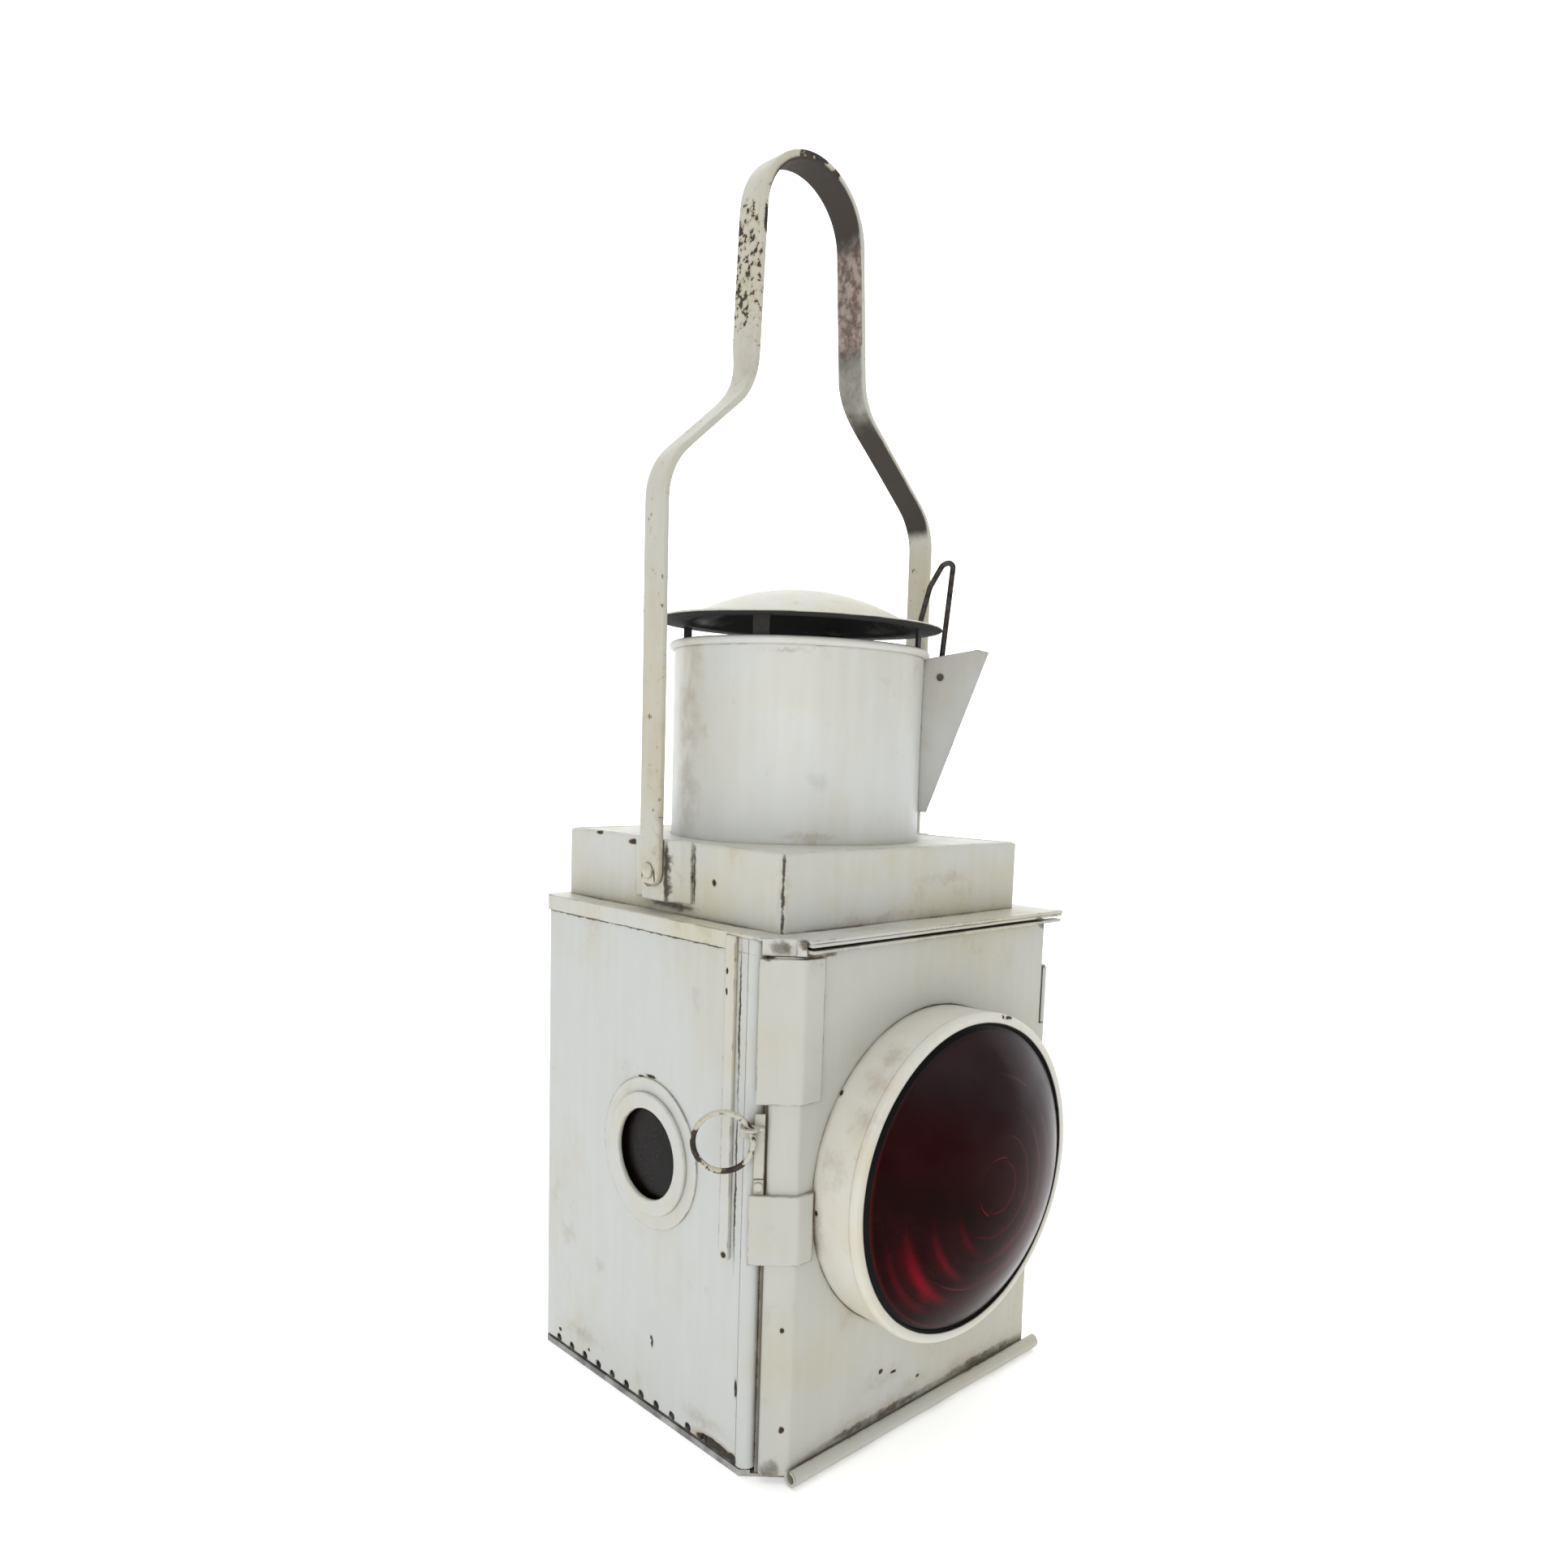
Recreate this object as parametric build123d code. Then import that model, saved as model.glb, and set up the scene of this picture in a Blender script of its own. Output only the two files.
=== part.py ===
"""Railway tail lamp: an oil lamp in folded sheet steel, with a large red lens in its door.

Millimetres.  The origin is the middle of the body's underside, +Z is up, and the lens looks
along -Y.  The door is hinged at the front right edge and latched at the front left one.  The
font, the burner and its wick winder stand inside, and a strap handle folds either way over the
chimney.
"""

import math
import os

from build123d import *

# Sheet and fits
GAUGE = 1.2
BEND = 2.0
RUNNING = 0.06
GAP = 0.3

# Body
BODY_WIDTH = 160.0
BODY_DEPTH = 154.0
ROOF_TOP = 206.0
WALL_FOOT = 4.0
EDGE_BEAD_RADIUS = 3.8
EDGE_BEAD_WALL = 1.0
EDGE_BEAD_SETBACK = 16.5
EDGE_BEAD_PROUD = 0.8
RIGHT_WALL_SETBACK = 6.5
VENT_COUNT = 11
VENT_PITCH = 10.45
VENT_FIRST = 65.0
VENT_RADIUS = 2.0
VENT_LIFT = 1.0

# Base tray
HEM_HEIGHT = 2.6
HEM_WIDTH = 3.0
FLANGE_TOP = 14.0
FRONT_UPTURN = 6.0

# Roof
ROOF_BAND = 6.4
ROOF_BAND_GAUGE = 1.0
ROOF_LIP = 4.5
ROOF_LIP_RIGHT = 3.3
ROOF_VENT_RADIUS = 50.0

# Side strip
STRIP_FRONT = -52.3
STRIP_WIDTH = 5.3
STRIP_FOOT = 82.0
STRIP_GAUGE = 1.5

# Upper box and chimney
BOX_SIDE = 140.0
BOX_HEIGHT = 29.0
TOWER_Y = 5.5
CHIMNEY_RADIUS = 54.0
CHIMNEY_GAUGE = 1.0
CHIMNEY_HEIGHT = 81.5
CHIMNEY_BEAD = 1.6
DRAUGHT_FOOT_RADIUS = 58.0
DRAUGHT_TOP_RADIUS = 34.0
DRAUGHT_HEIGHT = 52.0

# Cap
CAP_RADIUS = 61.5
CAP_GAUGE = 1.2
CAP_LIFT = 8.9
DOME_RADIUS = 50.0
DOME_RISE = 14.0
LEG_COUNT = 4
LEG_START_ANGLE = -150.0
LEG_WIDTH = 6.7
LEG_GAUGE = 1.2
LEG_OVERLAP = 16.0

# Cap clip and its pocket on the chimney
CLIP_ANGLE = -45.0
POCKET_LIFT = 12.5
POCKET_FOOT_REACH = 3.7
POCKET_TOP_REACH = 27.9
POCKET_TIP_RISE = 0.9
POCKET_CREST_RISE = 1.9
POCKET_CREST_WIDTH = 5.0
POCKET_WIDTH = 9.0
POCKET_GAUGE = 1.0
CLIP_WIRE_RADIUS = 1.2
CLIP_PIN_RADIUS = 1.35
CLIP_PIVOT_RADIUS = 61.3
CLIP_PIVOT_DROP = 10.5
CLIP_HEIGHT = 29.9
CLIP_TOP_LEAN = 4.1
CLIP_TIP_OVERHANG = 9.9

# Handle
HANDLE_WIDTH = 12.7
HANDLE_GAUGE = 3.0
HANDLE_SPREAD = 151.0
HANDLE_PIVOT_LIFT = 17.0
HANDLE_FOOT_DROP = 6.35
HANDLE_HEIGHT = 296.8
HANDLE_NECK_HEIGHT = 269.0
HANDLE_SHOULDER_LEFT = 155.0
HANDLE_SHOULDER_RIGHT = 157.0
HANDLE_WAIST_LEFT = 193.5
HANDLE_WAIST_RIGHT = 200.5
HANDLE_WAIST_LEFT_X = -33.6
HANDLE_WAIST_RIGHT_X = 27.6
HANDLE_NECK_LEFT_X = -31.0
HANDLE_NECK_RIGHT_X = 23.6
HANDLE_BEND = 22.0
PIVOT_RADIUS = 2.4
PIVOT_HEAD_RADIUS = 3.3
PIVOT_HEAD_RISE = 1.8
PIVOT_TAIL = 1.0
BRACKET_GAUGE = 1.2
BRACKET_FRONT = -20.0
BRACKET_BACK = 26.0
BRACKET_SLOPE = 8.0
BRACKET_LIFT = 5.0
BRACKET_HEIGHT = 22.0
BRACKET_FLAT = 3.0

# Side window
WINDOW_Y = -1.0
WINDOW_Z = 109.5
WINDOW_CLEAR_RADIUS = 18.5
WINDOW_BORE_RADIUS = 21.5
WINDOW_RING_RADIUS = 25.0
WINDOW_RING_RISE = 1.7
WINDOW_FLANGE_RADIUS = 30.7
WINDOW_FLANGE_RISE = 0.7
WINDOW_GLASS_RADIUS = 24.5
WINDOW_GLASS_THICKNESS = 2.0
WINDOW_KEEPER_RADIUS = 27.5

# Lamp-iron socket on the back
SOCKET_WIDTH = 46.0
SOCKET_DEPTH = 11.0
SOCKET_GAUGE = 1.6
SOCKET_FLANGE = 12.0
SOCKET_BOTTOM = 92.0
SOCKET_LENGTH = 86.0

# Door
CANT = 10.0
CANT_STRIP = 9.35
DOOR_BEAD_RADIUS = 2.2
DOOR_SIDE_GAP = 3.8
DOOR_TOP_GAP = 2.6
CORNER_DROP = 2.7
CURL_RADIUS = 3.1
CURL_CENTRE_Z = 3.8
CURL_INSET = 9.0
CURL_OVERHANG = 2.5
DOOR_LIP = 4.0
DOOR_LIP_INSET = 10.5
DOOR_LIP_OVERHANG = 3.0

# Door hinge
HINGE_INSET = 0.4
HINGE_LEAF = 16.0
HINGE_ROD_RADIUS = 1.2
KNUCKLE_RADIUS = 2.4
KNUCKLE_COUNT = 5
HINGE_BOTTOM = 55.0
HINGE_LENGTH = 125.0
ROD_HEAD = 1.0

# Lens
LENS_X = 2.5
LENS_Z = 108.0
RIM_RADIUS = 65.0
RIM_DEPTH = 23.0
LENS_CLEAR_RADIUS = 61.0
LENS_EDGE_RADIUS = 63.4
LENS_EDGE = 4.0
LENS_DOME_RADIUS = 60.6
LENS_RISE = 20.0
LENS_BODY = 7.0
LENS_STEPS = 6
LENS_STEP_RISE = 1.6
GASKET_WIDTH = 3.5
GASKET_THICKNESS = 1.5
KEEPER_WIDTH = 4.8
KEEPER_DEPTH = 5.0

# Stop behind the groove between the two beads, measured as the latch is
STOP_LEFT = -14.0
STOP_RIGHT = -4.0
STOP_GAUGE = 1.0
STOP_CLEARANCE = 0.9
SKIRT_LEFT = -15.2
SKIRT_RIGHT = -1.2

# Latch brackets, leaf and ring pull, measured along the canted corner from the door's front fold
LATCH_GAUGE = 1.6
UPPER_LEG = 9.0
LOWER_LEG = 6.8
UPPER_REACH = 15.95
UPPER_CLEARANCE = 4.0
UPPER_DROP = 0.7
LOWER_REACH = 17.45
LOWER_BOTTOM = 86.0
LOWER_TOP = 112.0
LEAF_GAUGE = 0.8
LEAF_LEFT = -16.15
LEAF_WIDTH = 3.8
LEAF_FOOT = 89.0
LEAF_FLEX_Z = 117.7
LEAF_TOP = 142.0
LEAF_RIVET_Z = 115.0
LEAF_RIVET_RADIUS = 1.0
HOOK_BOTTOM = 133.0
HOOK_HEIGHT = 3.7
HOOK_TIP = -21.5
HOOK_DEPTH = 4.95
LUG_GAUGE = 1.0
LUG_RADIUS = 3.2
EYE_RADIUS = 1.55
EYE_S = -17.55
EYE_STANDOFF = 2.6
RING_RADIUS = 10.8
RING_WIRE_RADIUS = 1.05
RING_DROOP = 27.0

# Oil font, burner and winder
FONT_WIDTH = 96.0
FONT_DEPTH = 90.0
FONT_HEIGHT = 48.0
FONT_WALL = 0.8
FONT_CORNER = 8.0
FONT_Y = 5.0
RAIL_HEIGHT = 9.0
RAIL_LENGTH = 60.0
RAIL_FOOT = 8.0
NECK_INSET = 18.0
NECK_RADIUS = 10.5
NECK_BORE = 9.3
NECK_HEIGHT = 7.0
FILLER_RADIUS = 13.0
FILLER_TOP = 2.2
FILLER_RIBS = 20
BURNER_RADIUS = 17.0
BURNER_WALL = 1.0
BURNER_HEIGHT = 31.0
BURNER_FLANGE = 21.0
BURNER_HOLES = 12
BURNER_HOLE_RADIUS = 1.6
WICK_WIDTH = 16.0
WICK_THICKNESS = 2.0
WICK_TOP = 97.0
WICK_BOTTOM = 12.0
TUBE_WALL = 0.7
TUBE_TOP = 93.0
TUBE_BOTTOM = 40.0
WHEEL_RADIUS = 4.0
WHEEL_WIDTH = 2.4
WHEEL_SPACING = 8.0
WHEEL_TEETH = 12
WHEEL_TOOTH = 0.7
SPINDLE_RADIUS = 1.5
SPINDLE_Z = 68.0
SPINDLE_REACH = 33.0
KNOB_RADIUS = 9.0
KNOB_THICKNESS = 3.0
KNOB_RIBS = 20

# Faces that several pieces share
HALF_WIDTH = BODY_WIDTH / 2
HALF_DEPTH = BODY_DEPTH / 2
REACH = 2 * (BODY_WIDTH + BODY_DEPTH + HANDLE_HEIGHT)
WALL_INSIDE = HALF_WIDTH - GAUGE
BACK_INSIDE = HALF_DEPTH - GAUGE
PANEL_OUTSIDE = -HALF_DEPTH
DOOR_RIGHT = HALF_WIDTH - DOOR_SIDE_GAP
CURL_LEFT = -HALF_WIDTH + CURL_INSET
CURL_RIGHT = HALF_WIDTH + CURL_OVERHANG
DOOR_LIP_LEFT = -HALF_WIDTH + DOOR_LIP_INSET
DOOR_LIP_RIGHT = HALF_WIDTH + DOOR_LIP_OVERHANG
PANEL_INSIDE = PANEL_OUTSIDE + GAUGE
EDGE_BEAD_X = -HALF_WIDTH - EDGE_BEAD_PROUD + EDGE_BEAD_RADIUS
EDGE_BEAD_Y = PANEL_OUTSIDE + EDGE_BEAD_SETBACK
HINGE_Y = PANEL_INSIDE + KNUCKLE_RADIUS - 1.0
ROOF_UNDERSIDE = ROOF_TOP - GAUGE
BOX_TOP = ROOF_TOP + BOX_HEIGHT
CHIMNEY_TOP = BOX_TOP + CHIMNEY_HEIGHT
CAP_UNDERSIDE = CHIMNEY_TOP + CAP_LIFT
POCKET_FOOT = BOX_TOP + POCKET_LIFT
POCKET_TIP = CHIMNEY_TOP + POCKET_TIP_RISE
POCKET_CREST = CHIMNEY_TOP + POCKET_CREST_RISE
CLIP_PIVOT_Z = CHIMNEY_TOP - CLIP_PIVOT_DROP
HANDLE_PIVOT_Z = ROOF_TOP + HANDLE_PIVOT_LIFT
HANDLE_NECK_Z = HANDLE_PIVOT_Z + HANDLE_NECK_HEIGHT
HANDLE_TOP_Z = HANDLE_PIVOT_Z + HANDLE_HEIGHT
BRACKET_BOTTOM = ROOF_TOP + BRACKET_LIFT
DOOR_TOP = ROOF_UNDERSIDE - DOOR_TOP_GAP
CORNER_TOP = DOOR_TOP - CORNER_DROP
UPPER_TOP = CORNER_TOP - UPPER_DROP
UPPER_BOTTOM = LEAF_TOP + UPPER_CLEARANCE
SOCKET_TOP = SOCKET_BOTTOM + SOCKET_LENGTH
HINGE_X = HALF_WIDTH - HINGE_INSET
HINGE_TOP = HINGE_BOTTOM + HINGE_LENGTH
FLOOR_TOP = GAUGE
ROOF_BAND_FRONT = STRIP_FRONT + STRIP_WIDTH
CAP_TOP = CAP_UNDERSIDE + CAP_GAUGE
CLIP_TOP_Z = CAP_TOP + CLIP_HEIGHT
RIM_FRONT = PANEL_OUTSIDE - RIM_DEPTH
RIM_BORE = RIM_RADIUS - GAUGE
LIP_INSIDE = RIM_FRONT + GAUGE
TRAY_FRONT = PANEL_INSIDE + 0.4
FONT_TOP = FLOOR_TOP + FONT_HEIGHT
NECK_X = FONT_WIDTH / 2 - NECK_INSET
NECK_Y = FONT_Y + FONT_DEPTH / 2 - NECK_INSET
BURNER_TOP = FONT_TOP + BURNER_HEIGHT
ARM_X = HANDLE_SPREAD / 2 + HANDLE_GAUGE / 2
CROWN_X = HANDLE_SPREAD / 2 - GAP
SPINDLE_Y = FONT_Y + WICK_THICKNESS / 2 + WHEEL_RADIUS + 0.05

# Plan of the canted corner: X runs along it towards the front, Y runs into the lamp.
CORNER = Plane(origin=(-HALF_WIDTH + CANT, PANEL_OUTSIDE, 0), x_dir=(1, -1, 0), z_dir=(0, 0, 1))


def block(x, y, z):
    """A box between two values on each axis."""
    sizes = [high - low for low, high in (x, y, z)]
    middles = [(low + high) / 2 for low, high in (x, y, z)]
    return Pos(*middles) * Box(*sizes)


def rod(radius, start, direction, length):
    """A round bar from a start point."""
    return Solid.make_cylinder(radius, length, Plane(origin=start, z_dir=direction))


def tube(radius, bore, start, direction, length):
    """A round tube from a start point."""
    return rod(radius, start, direction, length) - rod(bore, start, direction, length)


def prism(points, plane, width):
    """A flat outline on a plane, thickened along the plane's normal."""
    return extrude(plane * make_face(Polyline(*points, close=True)), width)


def turned(points, at=(0, 0)):
    """A profile of radius and height, turned about a vertical line."""
    outline = Plane.XZ * make_face(Polyline(*points, close=True))
    return Pos(at[0], at[1], 0) * revolve(outline, Axis.Z)


def crown(radius, rise, foot):
    """The arc of a shallow spherical crown, from the axis out to its edge at the foot."""
    ball = (radius ** 2 + rise ** 2) / (2 * rise)
    half = math.asin(radius / ball) / 2
    middle = (ball * math.sin(half), foot + rise - ball * (1 - math.cos(half)))
    return ThreePointArc((0, foot + rise), middle, (radius, foot))


def folded_sheet(path, gauge, bend, plane, width):
    """Sheet folded along an open path, which is one face of it: the metal lies to its left."""
    face_side = [Vector(*point) for point in path]
    far_side = []
    bends = []
    for i, point in enumerate(face_side):
        before = (point - face_side[i - 1]).normalized() if i else None
        after = (face_side[i + 1] - point).normalized() if i + 1 < len(face_side) else None
        ways = [way for way in (before, after) if way]
        normals = [Vector(-way.Y, way.X) for way in ways]
        mean = (normals[0] + normals[-1]).normalized()
        far = point + mean * (gauge / mean.dot(normals[0]))
        far_side.append(far)
        if before and after and bend:
            left_turn = before.X * after.Y - before.Y * after.X > 0
            bends.append((point, bend + gauge if left_turn else bend))
            bends.append((far, bend if left_turn else bend + gauge))
    sheet = make_face(Polyline(*face_side, *reversed(far_side), close=True))
    for corner, radius in bends:
        vertex = min(sheet.vertices(), key=lambda v: (Vector(v) - corner).length)
        sheet = fillet(vertex, radius)
    return extrude(plane * sheet, width)


def vent_positions():
    return [VENT_FIRST - i * VENT_PITCH for i in range(VENT_COUNT)]


def vent_holes(z, radius):
    """One row of air holes from side to side."""
    rods = [rod(radius, (-REACH / 2, y, z), (1, 0, 0), REACH) for y in vent_positions()]
    return Compound(rods)


def base_tray():
    floor = block((-HALF_WIDTH, HALF_WIDTH), (TRAY_FRONT, HALF_DEPTH), (0, HEM_HEIGHT))
    floor = fillet(floor.edges().filter_by(Axis.Z).group_by(Axis.Y)[-1], BEND + GAUGE)
    inner = block((-HALF_WIDTH + HEM_WIDTH, HALF_WIDTH - HEM_WIDTH),
                  (TRAY_FRONT - 1, HALF_DEPTH - HEM_WIDTH), (FLOOR_TOP, HEM_HEIGHT))
    floor -= inner
    path = [(WALL_INSIDE, TRAY_FRONT), (WALL_INSIDE, BACK_INSIDE),
            (-WALL_INSIDE, BACK_INSIDE), (-WALL_INSIDE, -HALF_DEPTH + EDGE_BEAD_SETBACK + 5)]
    flange = folded_sheet(path, GAUGE, BEND - GAUGE, Plane.XY.offset(FLOOR_TOP),
                          FLANGE_TOP - FLOOR_TOP)
    flange -= vent_holes(WALL_FOOT + VENT_LIFT, VENT_RADIUS + 0.4)
    upturn = block((-WALL_INSIDE + CANT, WALL_INSIDE - GAUGE), (TRAY_FRONT, TRAY_FRONT + GAUGE),
                   (0, FRONT_UPTURN))
    corner = CORNER * block((-REACH, REACH), (-REACH, 2 * DOOR_BEAD_RADIUS + GAP), (-1, REACH))
    return floor + flange + upturn - corner


def case_wall():
    path = [(HALF_WIDTH, -HALF_DEPTH + RIGHT_WALL_SETBACK), (HALF_WIDTH, HALF_DEPTH),
            (-HALF_WIDTH, HALF_DEPTH), (-HALF_WIDTH, EDGE_BEAD_Y + EDGE_BEAD_RADIUS - 1.3)]
    height = ROOF_UNDERSIDE - WALL_FOOT
    wall = folded_sheet(path, GAUGE, BEND, Plane.XY.offset(WALL_FOOT), height)
    wall += tube(EDGE_BEAD_RADIUS, EDGE_BEAD_RADIUS - EDGE_BEAD_WALL,
                 (EDGE_BEAD_X, EDGE_BEAD_Y, WALL_FOOT), (0, 0, 1), height)
    wall -= rod(WINDOW_BORE_RADIUS, (-HALF_WIDTH - 1, WINDOW_Y, WINDOW_Z), (1, 0, 0), GAUGE + 2)
    return wall - vent_holes(WALL_FOOT + VENT_LIFT, VENT_RADIUS)


def corner_stop():
    """A flat bar soldered to the edge bead, behind the groove that the closed door leaves."""
    near = 2 * DOOR_BEAD_RADIUS + STOP_CLEARANCE
    bar = CORNER * block((STOP_LEFT, STOP_RIGHT), (near, near + STOP_GAUGE),
                         (FLOOR_TOP, ROOF_UNDERSIDE))
    return bar - rod(EDGE_BEAD_RADIUS, (EDGE_BEAD_X, EDGE_BEAD_Y, 0), (0, 0, 1), REACH)


def side_strip():
    face = -HALF_WIDTH - STRIP_GAUGE
    strip = block((face, -HALF_WIDTH), (STRIP_FRONT, STRIP_FRONT + STRIP_WIDTH),
                  (STRIP_FOOT, ROOF_UNDERSIDE))
    ends = strip.edges().filter_by(Axis.X).group_by(Axis.Z)[0]
    return fillet(ends, STRIP_WIDTH / 4)


def roof_plate():
    side = HALF_WIDTH + ROOF_BAND_GAUGE
    back = HALF_DEPTH + ROOF_BAND_GAUGE
    front = PANEL_OUTSIDE - ROOF_LIP
    corner_y = PANEL_OUTSIDE + CANT + ROOF_BAND_GAUGE
    fold_x = -HALF_WIDTH + CANT
    outline = [(-side, back), (-side, corner_y), (fold_x, PANEL_OUTSIDE), (fold_x, front),
               (HALF_WIDTH + ROOF_LIP_RIGHT, front), (HALF_WIDTH + ROOF_LIP_RIGHT, PANEL_OUTSIDE),
               (side, PANEL_OUTSIDE), (side, back)]
    plate = prism(outline, Plane.XY.offset(ROOF_UNDERSIDE), GAUGE)
    rear = plate.edges().filter_by(Axis.Z).group_by(Axis.Y)[-1]
    plate = fillet(rear, BEND + GAUGE + ROOF_BAND_GAUGE)
    path = [(side, ROOF_BAND_FRONT), (side, back), (-side, back), (-side, ROOF_BAND_FRONT)]
    plate += folded_sheet(path, ROOF_BAND_GAUGE, BEND + GAUGE,
                          Plane.XY.offset(ROOF_TOP - ROOF_BAND), ROOF_BAND - GAUGE)
    plate += CORNER * block((SKIRT_LEFT, SKIRT_RIGHT), (0, ROOF_BAND_GAUGE),
                            (CORNER_TOP + GAP, ROOF_UNDERSIDE + GAUGE / 2))
    return plate - rod(ROOF_VENT_RADIUS, (0, TOWER_Y, 0), (0, 0, 1), REACH)


def upper_box():
    half = BOX_SIDE / 2
    plan = Pos(0, TOWER_Y, ROOF_TOP)
    outer = plan * extrude(RectangleRounded(BOX_SIDE, BOX_SIDE, BEND), BOX_HEIGHT)
    inside = plan * extrude(RectangleRounded(BOX_SIDE - 2 * GAUGE, BOX_SIDE - 2 * GAUGE,
                                             BEND - GAUGE), BOX_HEIGHT - GAUGE)
    hole = rod(CHIMNEY_RADIUS, (0, TOWER_Y, ROOF_TOP), (0, 0, 1), half)
    return outer - inside - hole


def draught_cone():
    foot = DRAUGHT_FOOT_RADIUS
    throat = ROOF_VENT_RADIUS - 2
    top = DRAUGHT_TOP_RADIUS
    points = [(throat, ROOF_TOP), (foot, ROOF_TOP), (foot, ROOF_TOP + GAUGE),
              (throat + GAUGE, ROOF_TOP + GAUGE), (top + GAUGE, ROOF_TOP + DRAUGHT_HEIGHT),
              (top, ROOF_TOP + DRAUGHT_HEIGHT)]
    return turned(points, (0, TOWER_Y))


def chimney():
    foot = BOX_TOP - GAUGE
    pipe = tube(CHIMNEY_RADIUS, CHIMNEY_RADIUS - CHIMNEY_GAUGE, (0, TOWER_Y, foot), (0, 0, 1),
                CHIMNEY_TOP - CHIMNEY_BEAD - foot)
    bead = Solid.make_torus(CHIMNEY_RADIUS - CHIMNEY_GAUGE + CHIMNEY_BEAD, CHIMNEY_BEAD,
                            Plane(origin=(0, TOWER_Y, CHIMNEY_TOP - CHIMNEY_BEAD)))
    return pipe + bead


def domed(radius, foot, brim):
    """A solid of revolution under the cap's dome, with the outline of its brim outside it."""
    with BuildSketch(Plane.XZ) as profile:
        with BuildLine():
            dome = crown(radius, DOME_RISE, foot)
            Polyline(dome @ 1, *brim, dome @ 0)
        make_face()
    return revolve(profile.sketch, Axis.Z)


def cap():
    """A flat brim with a shallow pressed dome, one sheet all over."""
    brim = [(CAP_RADIUS, CAP_TOP), (CAP_RADIUS, CAP_UNDERSIDE), (0, CAP_UNDERSIDE)]
    hollow = domed(DOME_RADIUS - CAP_GAUGE, CAP_UNDERSIDE, [(0, CAP_UNDERSIDE)])
    sheet = domed(DOME_RADIUS, CAP_TOP, brim) - hollow
    return Pos(0, TOWER_Y, 0) * sheet


def cap_legs():
    """Strips that stand on the chimney's inner wall and carry the cap."""
    outer = CHIMNEY_RADIUS - CHIMNEY_GAUGE
    foot = CHIMNEY_TOP - LEG_OVERLAP
    ring = tube(outer, outer - LEG_GAUGE, (0, TOWER_Y, foot), (0, 0, 1), CAP_UNDERSIDE - foot)
    legs = []
    for i in range(LEG_COUNT):
        sector = block((0, REACH), (-LEG_WIDTH / 2, LEG_WIDTH / 2), (0, REACH))
        turn = Rot(0, 0, LEG_START_ANGLE + i * 360 / LEG_COUNT)
        legs += (ring & (Pos(0, TOWER_Y, 0) * turn * sector)).solids()
    return Compound(legs)


def clip_plane(offset=0.0):
    """The upright radial plane of the cap clip: X runs outwards, Y runs up."""
    angle = math.radians(CLIP_ANGLE)
    outward = Vector(math.cos(angle), math.sin(angle), 0)
    across = outward.cross(Vector(0, 0, 1))
    return Plane(origin=Vector(0, TOWER_Y, 0) + across * offset, x_dir=outward, z_dir=across)


def clip_pocket():
    """Two triangular cheeks folded from one sheet, open at the top, soldered to the chimney."""
    root = CHIMNEY_RADIUS - CHIMNEY_GAUGE
    tip = CHIMNEY_RADIUS + POCKET_TOP_REACH
    crest = tip - POCKET_CREST_WIDTH
    mouth = CHIMNEY_TOP - 2 * CHIMNEY_BEAD
    heel = CHIMNEY_RADIUS + POCKET_FOOT_REACH
    outline = [(root, POCKET_FOOT), (heel, POCKET_FOOT), (tip, POCKET_TIP), (crest, POCKET_CREST),
               (root, mouth)]
    pocket = prism(outline, clip_plane(-POCKET_WIDTH / 2), POCKET_WIDTH)
    lean = math.hypot(tip - heel, POCKET_TIP - POCKET_FOOT) / (POCKET_TIP - POCKET_FOOT)
    inset = POCKET_GAUGE * lean
    hollow = [(0, POCKET_FOOT - 1), (heel - inset, POCKET_FOOT), (tip - inset, POCKET_TIP),
              (tip - inset, POCKET_CREST + 1), (0, POCKET_CREST + 1)]
    pocket -= prism(hollow, clip_plane(POCKET_GAUGE - POCKET_WIDTH / 2),
                    POCKET_WIDTH - 2 * POCKET_GAUGE)
    pocket -= rod(CHIMNEY_RADIUS, (0, TOWER_Y, 0), (0, 0, 1), REACH)
    pocket -= Solid.make_torus(CHIMNEY_RADIUS - CHIMNEY_GAUGE + CHIMNEY_BEAD, CHIMNEY_BEAD,
                               Plane(origin=(0, TOWER_Y, CHIMNEY_TOP - CHIMNEY_BEAD)))
    pivot = clip_plane(-POCKET_WIDTH).from_local_coords(Vector(CLIP_PIVOT_RADIUS, CLIP_PIVOT_Z, 0))
    return pocket - rod(CLIP_PIN_RADIUS + RUNNING, pivot, clip_plane().z_dir, 2 * POCKET_WIDTH)


def cap_clip():
    """A wire pivoted in the pocket, up past the brim and back down on to it."""
    plane = clip_plane()
    top_x = CLIP_PIVOT_RADIUS + CLIP_TOP_LEAN
    tip_x = CAP_RADIUS - CLIP_TIP_OVERHANG
    tip_z = CAP_TOP + GAP + CLIP_WIRE_RADIUS
    points = [(CLIP_PIVOT_RADIUS, CLIP_PIVOT_Z), (top_x, CLIP_TOP_Z),
              (top_x - 4.9, CLIP_TOP_Z - 2.5), (tip_x + 3.9, CLIP_TOP_Z - 12), (tip_x, tip_z)]
    path = FilletPolyline(*points, radius=(2.0, 3.0, 10.0))
    start = path.edges()[0]
    section = Plane(origin=start @ 0, z_dir=start % 0) * Circle(CLIP_WIRE_RADIUS)
    wire = sweep(section, path=path)
    upright = Plane(origin=plane.origin, x_dir=plane.x_dir, z_dir=plane.z_dir)
    wire = upright.location * wire
    half = POCKET_WIDTH / 2 + 0.8
    pivot = clip_plane(-half).from_local_coords(Vector(CLIP_PIVOT_RADIUS, CLIP_PIVOT_Z, 0))
    return wire + rod(CLIP_PIN_RADIUS, pivot, plane.z_dir, 2 * half)


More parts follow.
